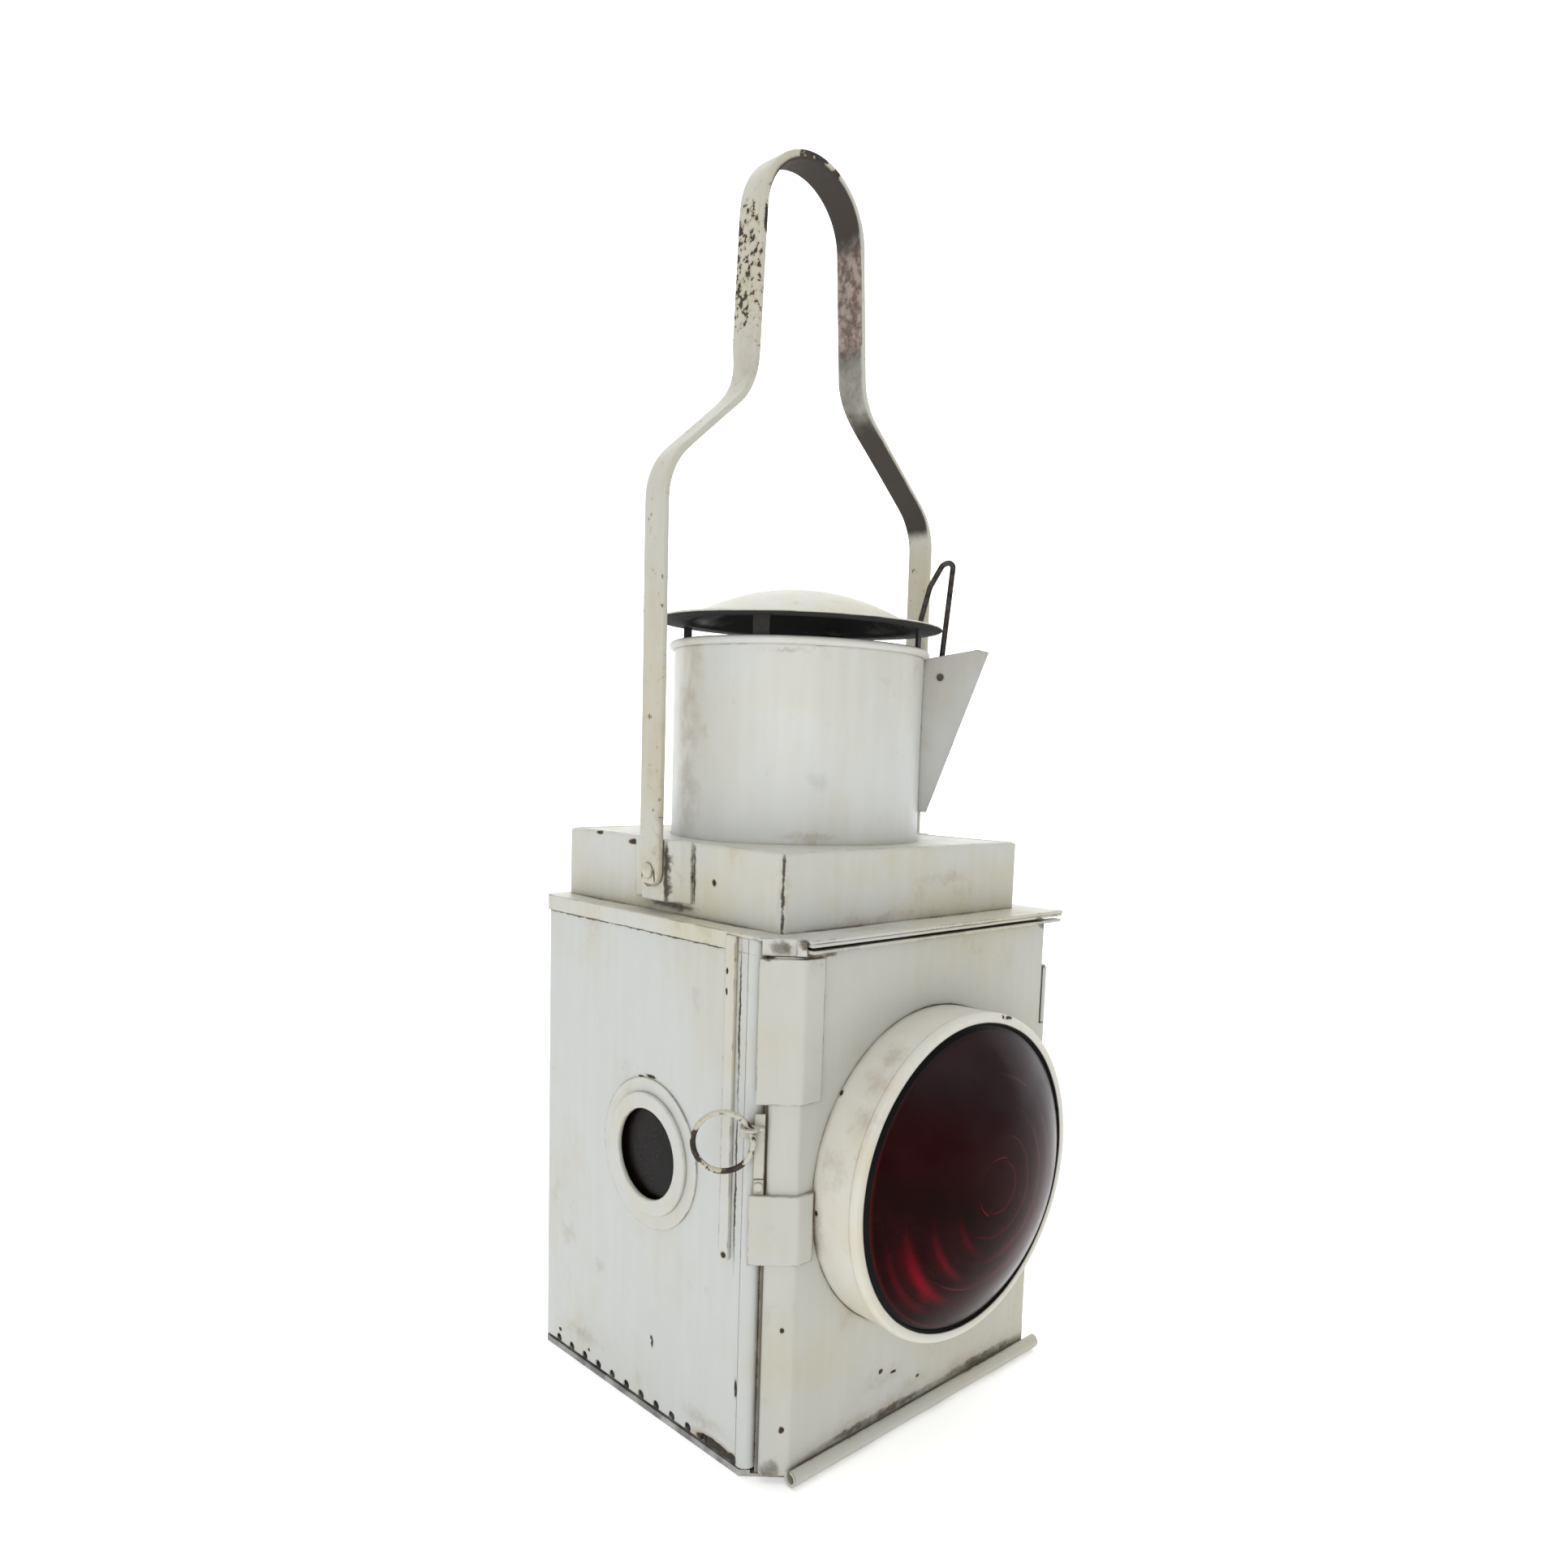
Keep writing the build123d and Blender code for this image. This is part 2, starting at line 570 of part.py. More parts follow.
def handle():
    """A flat strap: upright arms, shoulders in to a narrow neck, and a round top."""
    foot_z = HANDLE_PIVOT_Z
    left = FilletPolyline((-ARM_X, foot_z), (-ARM_X, foot_z + HANDLE_SHOULDER_LEFT),
                          (HANDLE_WAIST_LEFT_X, foot_z + HANDLE_WAIST_LEFT),
                          (HANDLE_NECK_LEFT_X, HANDLE_NECK_Z), radius=HANDLE_BEND)
    right = FilletPolyline((HANDLE_NECK_RIGHT_X, HANDLE_NECK_Z),
                           (HANDLE_WAIST_RIGHT_X, foot_z + HANDLE_WAIST_RIGHT),
                           (ARM_X, foot_z + HANDLE_SHOULDER_RIGHT), (ARM_X, foot_z),
                           radius=HANDLE_BEND)
    middle = (HANDLE_NECK_LEFT_X + HANDLE_NECK_RIGHT_X) / 2
    arch = ThreePointArc((HANDLE_NECK_LEFT_X, HANDLE_NECK_Z), (middle, HANDLE_TOP_Z),
                         (HANDLE_NECK_RIGHT_X, HANDLE_NECK_Z))
    centre = Wire(left.edges() + arch.edges() + right.edges())
    band = make_face(centre.offset_2d(HANDLE_GAUGE / 2, kind=Kind.INTERSECTION, side=Side.BOTH))
    upright = Plane(origin=(0, TOWER_Y + HANDLE_WIDTH / 2, 0), x_dir=(1, 0, 0), z_dir=(0, -1, 0))
    strap = extrude(upright * band, HANDLE_WIDTH)
    feet = rod(HANDLE_FOOT_DROP, (-ARM_X - HANDLE_GAUGE / 2, TOWER_Y, HANDLE_PIVOT_Z), (1, 0, 0),
               HANDLE_GAUGE)
    feet += rod(HANDLE_FOOT_DROP, (ARM_X - HANDLE_GAUGE / 2, TOWER_Y, HANDLE_PIVOT_Z), (1, 0, 0),
                HANDLE_GAUGE)
    bore = rod(PIVOT_RADIUS + RUNNING, (-REACH / 2, TOWER_Y, HANDLE_PIVOT_Z), (1, 0, 0), REACH)
    return strap + feet - bore


def pivot_bracket(side):
    """A hat-section plate that carries a handle arm off the upper box."""
    wall = BOX_SIDE / 2
    path = [(wall + BRACKET_GAUGE, BRACKET_FRONT), (wall + BRACKET_GAUGE, BRACKET_FRONT + BRACKET_FLAT),
            (CROWN_X, BRACKET_FRONT + BRACKET_SLOPE), (CROWN_X, BRACKET_BACK - BRACKET_SLOPE),
            (wall + BRACKET_GAUGE, BRACKET_BACK - BRACKET_FLAT), (wall + BRACKET_GAUGE, BRACKET_BACK)]
    hat = folded_sheet(path, BRACKET_GAUGE, 0, Plane.XY.offset(BRACKET_BOTTOM),
                       BRACKET_HEIGHT)
    hat -= rod(PIVOT_RADIUS, (0, TOWER_Y, HANDLE_PIVOT_Z), (1, 0, 0), REACH)
    return hat if side > 0 else mirror(hat, Plane.YZ)


def pivot_rivet(side):
    """A rivet set in the bracket's crown, with a domed head outside the arm."""
    start = CROWN_X - BRACKET_GAUGE - PIVOT_TAIL
    seat = ARM_X + HANDLE_GAUGE / 2 + GAP - start
    with BuildSketch(Plane.XZ) as profile:
        with BuildLine():
            head = crown(PIVOT_HEAD_RADIUS, PIVOT_HEAD_RISE, seat)
            Polyline(head @ 1, (PIVOT_RADIUS, seat), (PIVOT_RADIUS, PIVOT_TAIL),
                     (PIVOT_HEAD_RADIUS, PIVOT_TAIL), (PIVOT_HEAD_RADIUS, 0), (0, 0), head @ 0)
        make_face()
    rivet = revolve(profile.sketch, Axis.Z)
    axis = Plane(origin=(start, TOWER_Y, HANDLE_PIVOT_Z), z_dir=(1, 0, 0))
    rivet = axis.location * rivet
    return rivet if side > 0 else mirror(rivet, Plane.YZ)


def window_ring_piece(radius, bore, near, far):
    """A flat ring on the left wall, between two distances from the wall's outer face."""
    start = (-HALF_WIDTH - far, WINDOW_Y, WINDOW_Z)
    return tube(radius, bore, start, (1, 0, 0), far - near)


def window_flange():
    return window_ring_piece(WINDOW_FLANGE_RADIUS, WINDOW_BORE_RADIUS, 0, WINDOW_FLANGE_RISE)


def window_ring():
    top = WINDOW_FLANGE_RISE + WINDOW_RING_RISE
    ring = window_ring_piece(WINDOW_RING_RADIUS, WINDOW_CLEAR_RADIUS, WINDOW_FLANGE_RISE, top)
    rims = ring.edges().filter_by(GeomType.CIRCLE).group_by(Axis.X)[0]
    return fillet(rims, WINDOW_RING_RISE / 3)


def window_glass():
    start = (-WALL_INSIDE, WINDOW_Y, WINDOW_Z)
    return rod(WINDOW_GLASS_RADIUS, start, (1, 0, 0), WINDOW_GLASS_THICKNESS)


def window_keeper():
    """A pressed ring inside the wall, stepped over the glass."""
    bore = WINDOW_GLASS_RADIUS + GAP
    step = -WALL_INSIDE + WINDOW_GLASS_THICKNESS
    skirt = tube(bore + GAUGE, bore, (-WALL_INSIDE, WINDOW_Y, WINDOW_Z), (1, 0, 0),
                 WINDOW_GLASS_THICKNESS)
    face = tube(bore + GAUGE, WINDOW_BORE_RADIUS, (step, WINDOW_Y, WINDOW_Z), (1, 0, 0), GAUGE)
    foot = tube(WINDOW_KEEPER_RADIUS + GAUGE, bore, (-WALL_INSIDE, WINDOW_Y, WINDOW_Z), (1, 0, 0),
                GAUGE)
    return skirt + face + foot


def lamp_iron_socket():
    """A folded channel on the back that drops over the vehicle's lamp iron."""
    inner = SOCKET_WIDTH / 2
    out = HALF_DEPTH + SOCKET_DEPTH
    path = [(-inner - SOCKET_FLANGE, HALF_DEPTH), (-inner, HALF_DEPTH), (-inner, out),
            (inner, out), (inner, HALF_DEPTH), (inner + SOCKET_FLANGE, HALF_DEPTH)]
    socket = folded_sheet(path, SOCKET_GAUGE, 0, Plane.XY.offset(SOCKET_BOTTOM), SOCKET_LENGTH)
    stop = block((-inner, inner), (HALF_DEPTH, out), (SOCKET_TOP - SOCKET_GAUGE, SOCKET_TOP))
    return socket + stop


def knuckle_spans():
    """Hinge barrels in turn from the bottom: case, door, case, door, case."""
    pitch = HINGE_LENGTH / KNUCKLE_COUNT
    for i in range(KNUCKLE_COUNT):
        low = HINGE_BOTTOM + i * pitch
        yield i % 2 == 1, low + GAP / 2, pitch - GAP


def knuckle(low, height, bore):
    return tube(KNUCKLE_RADIUS, bore, (HINGE_X, HINGE_Y, low), (0, 0, 1), height)


def hinge_knuckles():
    """The case's barrels, each on a leaf inside the right wall."""
    pieces = []
    for on_door, low, height in knuckle_spans():
        if not on_door:
            barrel = rod(KNUCKLE_RADIUS, (HINGE_X, HINGE_Y, low), (0, 0, 1), height)
            leaf = block((WALL_INSIDE - GAUGE, WALL_INSIDE), (HINGE_Y, HINGE_Y + HINGE_LEAF),
                         (low, low + height))
            piece = barrel + leaf
            piece -= rod(HINGE_ROD_RADIUS, (HINGE_X, HINGE_Y, low), (0, 0, 1), height)
            pieces += piece.solids()
    return Compound(pieces)


def hinge_rod():
    start = (HINGE_X, HINGE_Y, HINGE_BOTTOM - ROD_HEAD + GAP / 2)
    shaft = rod(HINGE_ROD_RADIUS, start, (0, 0, 1), HINGE_LENGTH + 2 * ROD_HEAD - GAP)
    head = rod(HINGE_ROD_RADIUS + 0.6, (HINGE_X, HINGE_Y, HINGE_TOP - GAP / 2), (0, 0, 1), ROD_HEAD)
    foot = rod(HINGE_ROD_RADIUS + 0.6, start, (0, 0, 1), ROD_HEAD)
    return shaft + head + foot


def door_panel():
    """Front sheet, canted corner with its wired edge, curled foot, top lip and hinge barrels."""
    fold = (-HALF_WIDTH + CANT, PANEL_OUTSIDE)
    edge = CORNER.from_local_coords(Vector(-CANT_STRIP, 0, 0))
    path = [(edge.X, edge.Y), fold, (DOOR_RIGHT, PANEL_OUTSIDE)]
    panel = folded_sheet(path, GAUGE, 0.8, Plane.XY.offset(CURL_CENTRE_Z),
                         CORNER_TOP - CURL_CENTRE_Z)
    bead = CORNER.from_local_coords(Vector(-CANT_STRIP, DOOR_BEAD_RADIUS, CURL_CENTRE_Z))
    panel += rod(DOOR_BEAD_RADIUS, bead, (0, 0, 1), CORNER_TOP - CURL_CENTRE_Z)
    top = DOOR_TOP - GAUGE
    panel += block((DOOR_LIP_LEFT, DOOR_RIGHT), (PANEL_OUTSIDE, PANEL_INSIDE),
                   (CORNER_TOP - 1, DOOR_TOP))
    panel += block((DOOR_LIP_LEFT, DOOR_LIP_RIGHT), (PANEL_OUTSIDE - DOOR_LIP, PANEL_OUTSIDE),
                   (top, DOOR_TOP))
    panel += curl()
    for on_door, low, height in knuckle_spans():
        if on_door:
            panel += rod(KNUCKLE_RADIUS, (HINGE_X, HINGE_Y, low), (0, 0, 1), height)
            panel += block((DOOR_RIGHT - 2, HINGE_X), (PANEL_INSIDE - GAUGE, PANEL_INSIDE),
                           (low, low + height))
            panel -= rod(HINGE_ROD_RADIUS + RUNNING, (HINGE_X, HINGE_Y, low - 1), (0, 0, 1),
                         height + 2)
    return panel - rod(RIM_RADIUS, (LENS_X, PANEL_INSIDE + 1, LENS_Z), (0, -1, 0), 3 * GAUGE)


def curl():
    """The door's foot rolled forwards into an open curl."""
    centre_y = PANEL_INSIDE - CURL_RADIUS
    length = CURL_RIGHT - CURL_LEFT
    roll = tube(CURL_RADIUS, CURL_RADIUS - GAUGE, (CURL_LEFT, centre_y, CURL_CENTRE_Z), (1, 0, 0),
                length)
    slot = [(centre_y, CURL_CENTRE_Z), (PANEL_OUTSIDE, CURL_CENTRE_Z),
            (PANEL_OUTSIDE, CURL_CENTRE_Z + 2 * CURL_RADIUS),
            (centre_y + 0.6, CURL_CENTRE_Z + 2 * CURL_RADIUS)]
    roll -= prism(slot, Plane.YZ.offset(CURL_LEFT - 1), length + 2)
    return roll - block((DOOR_RIGHT, REACH), (PANEL_OUTSIDE, 0), (-1, FLANGE_TOP))


def lens_rim():
    """A short drum soldered in the door, with a lip turned in over the glass."""
    seat = (LENS_X, PANEL_INSIDE, LENS_Z)
    drum = tube(RIM_RADIUS, RIM_BORE, seat, (0, -1, 0), PANEL_INSIDE - RIM_FRONT)
    lip = tube(RIM_RADIUS, LENS_CLEAR_RADIUS, (LENS_X, RIM_FRONT, LENS_Z), (0, 1, 0), GAUGE)
    rim = drum + lip
    front = rim.edges().filter_by(GeomType.CIRCLE).group_by(Axis.Y)[0].sort_by(SortBy.RADIUS)[-1]
    return fillet(front, GAUGE * 0.8)


def lens_glass():
    """A bull's-eye: domed outside, stepped rings inside, with a flat edge under the lip."""
    ball = (LENS_DOME_RADIUS ** 2 + LENS_RISE ** 2) / (2 * LENS_RISE)
    apex = LENS_RISE

    def dome(radius):
        return apex - ball + math.sqrt(ball ** 2 - radius ** 2)

    ring = LENS_DOME_RADIUS / LENS_STEPS
    inner = [(0, apex - LENS_BODY)]
    for i in range(1, LENS_STEPS):
        depth = dome(i * ring) - LENS_BODY
        inner.append((i * ring, depth + LENS_STEP_RISE))
        inner.append((i * ring, depth))
    inner.append((LENS_DOME_RADIUS - 3.0, -LENS_EDGE))
    with BuildSketch(Plane.XY) as profile:
        with BuildLine():
            face = ThreePointArc((0, apex), (LENS_DOME_RADIUS / 2, dome(LENS_DOME_RADIUS / 2)),
                                 (LENS_DOME_RADIUS, 0))
            Polyline(face @ 1, (LENS_EDGE_RADIUS, 0), (LENS_EDGE_RADIUS, -LENS_EDGE),
                     *reversed(inner), (0, apex))
        make_face()
    glass = revolve(profile.sketch, Axis.Y)
    forward = Plane(origin=(LENS_X, LIP_INSIDE, LENS_Z), x_dir=(1, 0, 0), z_dir=(0, 0, -1))
    return forward.location * glass


def lens_gasket():
    start = (LENS_X, LIP_INSIDE + LENS_EDGE, LENS_Z)
    return tube(LENS_EDGE_RADIUS, LENS_EDGE_RADIUS - GASKET_WIDTH, start, (0, 1, 0),
                GASKET_THICKNESS)


def lens_keeper():
    """A stepped ring sprung into the drum behind the gasket."""
    start = (LENS_X, LIP_INSIDE + LENS_EDGE + GASKET_THICKNESS, LENS_Z)
    face = tube(RIM_BORE, RIM_BORE - KEEPER_WIDTH, start, (0, 1, 0), GAUGE)
    skirt = tube(RIM_BORE, RIM_BORE - GAUGE, start, (0, 1, 0), KEEPER_DEPTH)
    return face + skirt


def latch_bracket(reach, leg, bottom, top):
    """A strap soldered round the door's front fold, reaching back over the groove."""
    far = CORNER.from_local_coords(Vector(-reach, 0, 0))
    fold = (-HALF_WIDTH + CANT, PANEL_OUTSIDE)
    path = [(fold[0] + leg, PANEL_OUTSIDE), fold, (far.X, far.Y)]
    return folded_sheet(path, LATCH_GAUGE, 0.8, Plane.XY.offset(bottom), top - bottom)


def latch_leaf_root():
    """The spring leaf's foot, soldered behind the lower strap."""
    leaf = CORNER * block((LEAF_LEFT, LEAF_LEFT + LEAF_WIDTH), (0, LEAF_GAUGE),
                          (LEAF_FOOT, LEAF_FLEX_Z))
    return leaf - leaf_rivet_bar(LEAF_RIVET_RADIUS, -2, 4)


def leaf_rivet_bar(radius, depth, length):
    start = CORNER.from_local_coords(Vector(LEAF_LEFT + LEAF_WIDTH / 2, depth, LEAF_RIVET_Z))
    return rod(radius, start, CORNER.y_dir, length)


def leaf_rivet():
    head = leaf_rivet_bar(LEAF_RIVET_RADIUS + 0.7, -0.7, 0.7)
    tail = leaf_rivet_bar(LEAF_RIVET_RADIUS + 0.5, LEAF_GAUGE, 0.6)
    return head + leaf_rivet_bar(LEAF_RIVET_RADIUS, -0.7, LEAF_GAUGE + 1.3) + tail


def latch_leaf():
    """The sprung blade: a hook over the case's bead, and a lug with an eye for the ring."""
    right = LEAF_LEFT + LEAF_WIDTH
    hook_top = HOOK_BOTTOM + HOOK_HEIGHT
    blade = block((LEAF_LEFT, right), (0, LEAF_GAUGE), (LEAF_FLEX_Z + GAP, LEAF_TOP))
    arm = block((HOOK_TIP, right), (0, LEAF_GAUGE), (HOOK_BOTTOM, hook_top))
    tooth = block((HOOK_TIP, HOOK_TIP + LEAF_GAUGE), (0, HOOK_DEPTH), (HOOK_BOTTOM, hook_top))
    ear = Pos(EYE_S, -EYE_STANDOFF, hook_top) * Cylinder(LUG_RADIUS, LUG_GAUGE,
                                                         align=(Align.CENTER, Align.CENTER,
                                                                Align.MIN))
    root = block((EYE_S, right), (-EYE_STANDOFF, LEAF_GAUGE), (hook_top, hook_top + LUG_GAUGE))
    eye = rod(EYE_RADIUS, (EYE_S, -EYE_STANDOFF, hook_top - LUG_GAUGE), (0, 0, 1), 3 * LUG_GAUGE)
    return CORNER.location * (blade + arm + tooth + ear + root - eye)


def ring_pull():
    """A wire ring hung in the eye, its plane along the canted corner."""
    droop = math.radians(RING_DROOP)
    eye_z = HOOK_BOTTOM + HOOK_HEIGHT + LUG_GAUGE / 2
    centre = CORNER.from_local_coords(Vector(EYE_S - RING_RADIUS * math.cos(droop), -EYE_STANDOFF,
                                             eye_z - RING_RADIUS * math.sin(droop)))
    return Solid.make_torus(RING_RADIUS, RING_WIRE_RADIUS,
                            Plane(origin=centre, x_dir=CORNER.x_dir, z_dir=CORNER.y_dir))


def font_rails():
    """Two angles on the floor that keep the font in its place."""
    rails = []
    for side in (-1, 1):
        inner = FONT_WIDTH / 2 + GAP
        path = [(side * inner, FLOOR_TOP + RAIL_HEIGHT), (side * inner, FLOOR_TOP),
                (side * (inner + RAIL_FOOT), FLOOR_TOP)]
        if side < 0:
            path.reverse()
        plane = Plane(origin=(0, FONT_Y + RAIL_LENGTH / 2, 0), x_dir=(1, 0, 0), z_dir=(0, -1, 0))
        rails += folded_sheet(path, GAUGE, 0, plane, RAIL_LENGTH).solids()
    return Compound(rails)


def reservoir():
    """A soldered tin box for the oil, with a filler neck and a mouth for the burner."""
    place = Pos(0, FONT_Y, FLOOR_TOP)
    tin = place * extrude(RectangleRounded(FONT_WIDTH, FONT_DEPTH, FONT_CORNER), FONT_HEIGHT)
    hollow = RectangleRounded(FONT_WIDTH - 2 * FONT_WALL, FONT_DEPTH - 2 * FONT_WALL,
                              FONT_CORNER - FONT_WALL)
    tin -= place * Pos(0, 0, FONT_WALL) * extrude(hollow, FONT_HEIGHT - 2 * FONT_WALL)
    tin += rod(NECK_RADIUS, (NECK_X, NECK_Y, FONT_TOP), (0, 0, 1), NECK_HEIGHT)
    tin -= rod(NECK_BORE, (NECK_X, NECK_Y, FONT_TOP - 2 * FONT_WALL), (0, 0, 1), 2 * NECK_HEIGHT)
    return tin - rod(BURNER_RADIUS - 4, (0, FONT_Y, FONT_TOP - 2 * FONT_WALL), (0, 0, 1), 10)


def ribbed(disc, radius, ribs, centre, axis, length):
    """Fine scallops cut round a disc's edge."""
    frame = Plane(origin=centre, z_dir=axis)
    for i in range(ribs):
        angle = 2 * math.pi * i / ribs
        spot = Vector(radius * math.cos(angle), radius * math.sin(angle), -1)
        disc -= rod(radius * 0.055, frame.from_local_coords(spot), axis, length + 2)
    return disc


def filler_cap():
    """A ribbed cap over the filler neck."""
    foot = FONT_TOP + GAP
    height = NECK_HEIGHT + FILLER_TOP
    body = rod(FILLER_RADIUS, (NECK_X, NECK_Y, foot), (0, 0, 1), height)
    body -= rod(NECK_RADIUS + RUNNING, (NECK_X, NECK_Y, foot - 1), (0, 0, 1), NECK_HEIGHT + 1)
    return ribbed(body, FILLER_RADIUS, FILLER_RIBS, (NECK_X, NECK_Y, foot), (0, 0, 1), height)


def tube_size(extra):
    """Width and thickness of the wick's own space, grown all round."""
    return (WICK_WIDTH + 2 * GAP + 2 * extra, WICK_THICKNESS + 2 * GAP + 2 * extra)


def burner():
    """A brass cup with a flange on the font, air holes round its foot and a slotted top."""
    outer, inner = BURNER_RADIUS, BURNER_RADIUS - BURNER_WALL
    points = [(inner, FONT_TOP), (BURNER_FLANGE, FONT_TOP), (BURNER_FLANGE, FONT_TOP + 2),
              (outer, FONT_TOP + 2), (outer, BURNER_TOP - 4), (outer - 4, BURNER_TOP),
              (0, BURNER_TOP), (0, BURNER_TOP - BURNER_WALL),
              (outer - 4.4, BURNER_TOP - BURNER_WALL), (inner, BURNER_TOP - 4.4)]
    cup = turned(points, (0, FONT_Y))
    plane = Plane.XY.offset(BURNER_TOP - 3)
    cup -= extrude(plane * Pos(0, FONT_Y) * Rectangle(*tube_size(TUBE_WALL)), 6)
    for i in range(BURNER_HOLES):
        angle = 2 * math.pi * (i + 0.5) / BURNER_HOLES
        way = (math.cos(angle), math.sin(angle), 0)
        cup -= rod(BURNER_HOLE_RADIUS, (0, FONT_Y, FONT_TOP + 6), way, BURNER_FLANGE)
    return cup - rod(SPINDLE_RADIUS + RUNNING, (-REACH / 2, SPINDLE_Y, SPINDLE_Z), (1, 0, 0), REACH)


def wick_tube():
    """A flat tube for the wick, with windows for the winder's wheels."""
    plane = Plane(origin=(0, FONT_Y, TUBE_BOTTOM))
    outer = extrude(plane * Rectangle(*tube_size(TUBE_WALL)), TUBE_TOP - TUBE_BOTTOM)
    outer -= extrude(plane * Rectangle(*tube_size(0)), TUBE_TOP - TUBE_BOTTOM)
    for x in wheel_positions():
        half = WHEEL_WIDTH / 2 + GAP
        outer -= block((x - half, x + half), (FONT_Y, SPINDLE_Y),
                       (SPINDLE_Z - WHEEL_RADIUS, SPINDLE_Z + WHEEL_RADIUS))
    return outer


def wick():
    return block((-WICK_WIDTH / 2, WICK_WIDTH / 2),
                 (FONT_Y - WICK_THICKNESS / 2, FONT_Y + WICK_THICKNESS / 2),
                 (WICK_BOTTOM, WICK_TOP))


def wheel_positions():
    return (-WHEEL_SPACING / 2, WHEEL_SPACING / 2)


def winder():
    """The spindle with two toothed wheels that grip the wick."""
    start = -BURNER_RADIUS - 2
    shaft = rod(SPINDLE_RADIUS, (start, SPINDLE_Y, SPINDLE_Z), (1, 0, 0), SPINDLE_REACH - start)
    teeth = []
    for i in range(2 * WHEEL_TEETH):
        radius = WHEEL_RADIUS - (WHEEL_TOOTH if i % 2 else 0)
        angle = math.pi * i / WHEEL_TEETH
        teeth.append((SPINDLE_Y + radius * math.cos(angle), SPINDLE_Z + radius * math.sin(angle)))
    for x in wheel_positions():
        shaft += prism(teeth, Plane.YZ.offset(x - WHEEL_WIDTH / 2), WHEEL_WIDTH)
    return shaft


def winder_knob():
    start = (SPINDLE_REACH - KNOB_THICKNESS, SPINDLE_Y, SPINDLE_Z)
    disc = rod(KNOB_RADIUS, start, (1, 0, 0), KNOB_THICKNESS)
    disc -= rod(SPINDLE_RADIUS, start, (1, 0, 0), KNOB_THICKNESS)
    return ribbed(disc, KNOB_RADIUS, KNOB_RIBS, start, (1, 0, 0), KNOB_THICKNESS)


PIECES = {
    "base_tray": base_tray,
    "case_wall": case_wall,
    "corner_stop": corner_stop,
    "side_strip": side_strip,
    "roof_plate": roof_plate,
    "upper_box": upper_box,
    "draught_cone": draught_cone,
    "chimney": chimney,
    "cap": cap,
    "cap_legs": cap_legs,
    "clip_pocket": clip_pocket,
    "cap_clip": cap_clip,
    "handle": handle,
    "pivot_bracket_left": lambda: pivot_bracket(-1),
    "pivot_bracket_right": lambda: pivot_bracket(1),
    "pivot_rivet_left": lambda: pivot_rivet(-1),
    "pivot_rivet_right": lambda: pivot_rivet(1),
    "window_flange": window_flange,
    "window_ring": window_ring,
    "window_glass": window_glass,
    "window_keeper": window_keeper,
    "lamp_iron_socket": lamp_iron_socket,
    "hinge_knuckles": hinge_knuckles,
    "hinge_rod": hinge_rod,
    "door_panel": door_panel,
    "lens_rim": lens_rim,
    "lens_glass": lens_glass,
    "lens_gasket": lens_gasket,
    "lens_keeper": lens_keeper,
    "latch_bracket_upper": lambda: latch_bracket(UPPER_REACH, UPPER_LEG, UPPER_BOTTOM, UPPER_TOP),
    "latch_bracket_lower": lambda: latch_bracket(LOWER_REACH, LOWER_LEG, LOWER_BOTTOM, LOWER_TOP),
    "latch_leaf_root": latch_leaf_root,
    "leaf_rivet": leaf_rivet,
    "latch_leaf": latch_leaf,
    "ring_pull": ring_pull,
    "font_rails": font_rails,
    "reservoir": reservoir,
    "filler_cap": filler_cap,
    "burner": burner,
    "wick_tube": wick_tube,
    "wick": wick,
    "winder": winder,
    "winder_knob": winder_knob,
}


def main():
    os.makedirs("parts", exist_ok=True)
    for name, make in PIECES.items():
        solids = make().solids()
        piece = solids[0] if len(solids) == 1 else Compound(list(solids))
        export_step(piece, f"parts/{name}.step")
        print(f"{name}: {len(solids)} solid(s), {piece.volume:.0f} mm3")


main()
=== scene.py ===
"""A railway tail lamp: brush-painted sheet steel with a large red lens, dressed round its frame.

Lengths are millimetres until a mesh is made, and then metres.  The origin is the middle of the
body's underside, +Z is up, and the lens looks along -Y.
"""

import math

import bpy
import numpy as np
from mathutils import Matrix, Vector


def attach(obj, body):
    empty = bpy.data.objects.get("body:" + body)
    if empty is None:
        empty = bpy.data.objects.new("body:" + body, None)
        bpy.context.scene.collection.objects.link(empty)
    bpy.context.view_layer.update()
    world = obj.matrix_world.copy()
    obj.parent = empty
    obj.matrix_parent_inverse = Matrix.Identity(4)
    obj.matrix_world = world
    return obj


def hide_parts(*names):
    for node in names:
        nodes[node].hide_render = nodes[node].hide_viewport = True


MM = 0.001
TOWER_Y = 5.5                    # the middle of upper box, chimney and cap
TOWER = (0, TOWER_Y, 0)
PIPE_RADIUS = 54.0
LENS_X, LENS_Z = 2.5, 108.0
DOOR_FACE = -77.0

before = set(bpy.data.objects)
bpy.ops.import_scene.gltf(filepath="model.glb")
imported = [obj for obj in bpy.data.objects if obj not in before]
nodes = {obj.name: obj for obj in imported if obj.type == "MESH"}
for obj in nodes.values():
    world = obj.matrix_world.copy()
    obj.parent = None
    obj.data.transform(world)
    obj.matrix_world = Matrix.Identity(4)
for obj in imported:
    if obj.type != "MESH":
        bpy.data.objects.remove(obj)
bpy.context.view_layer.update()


# Camera, light and floor

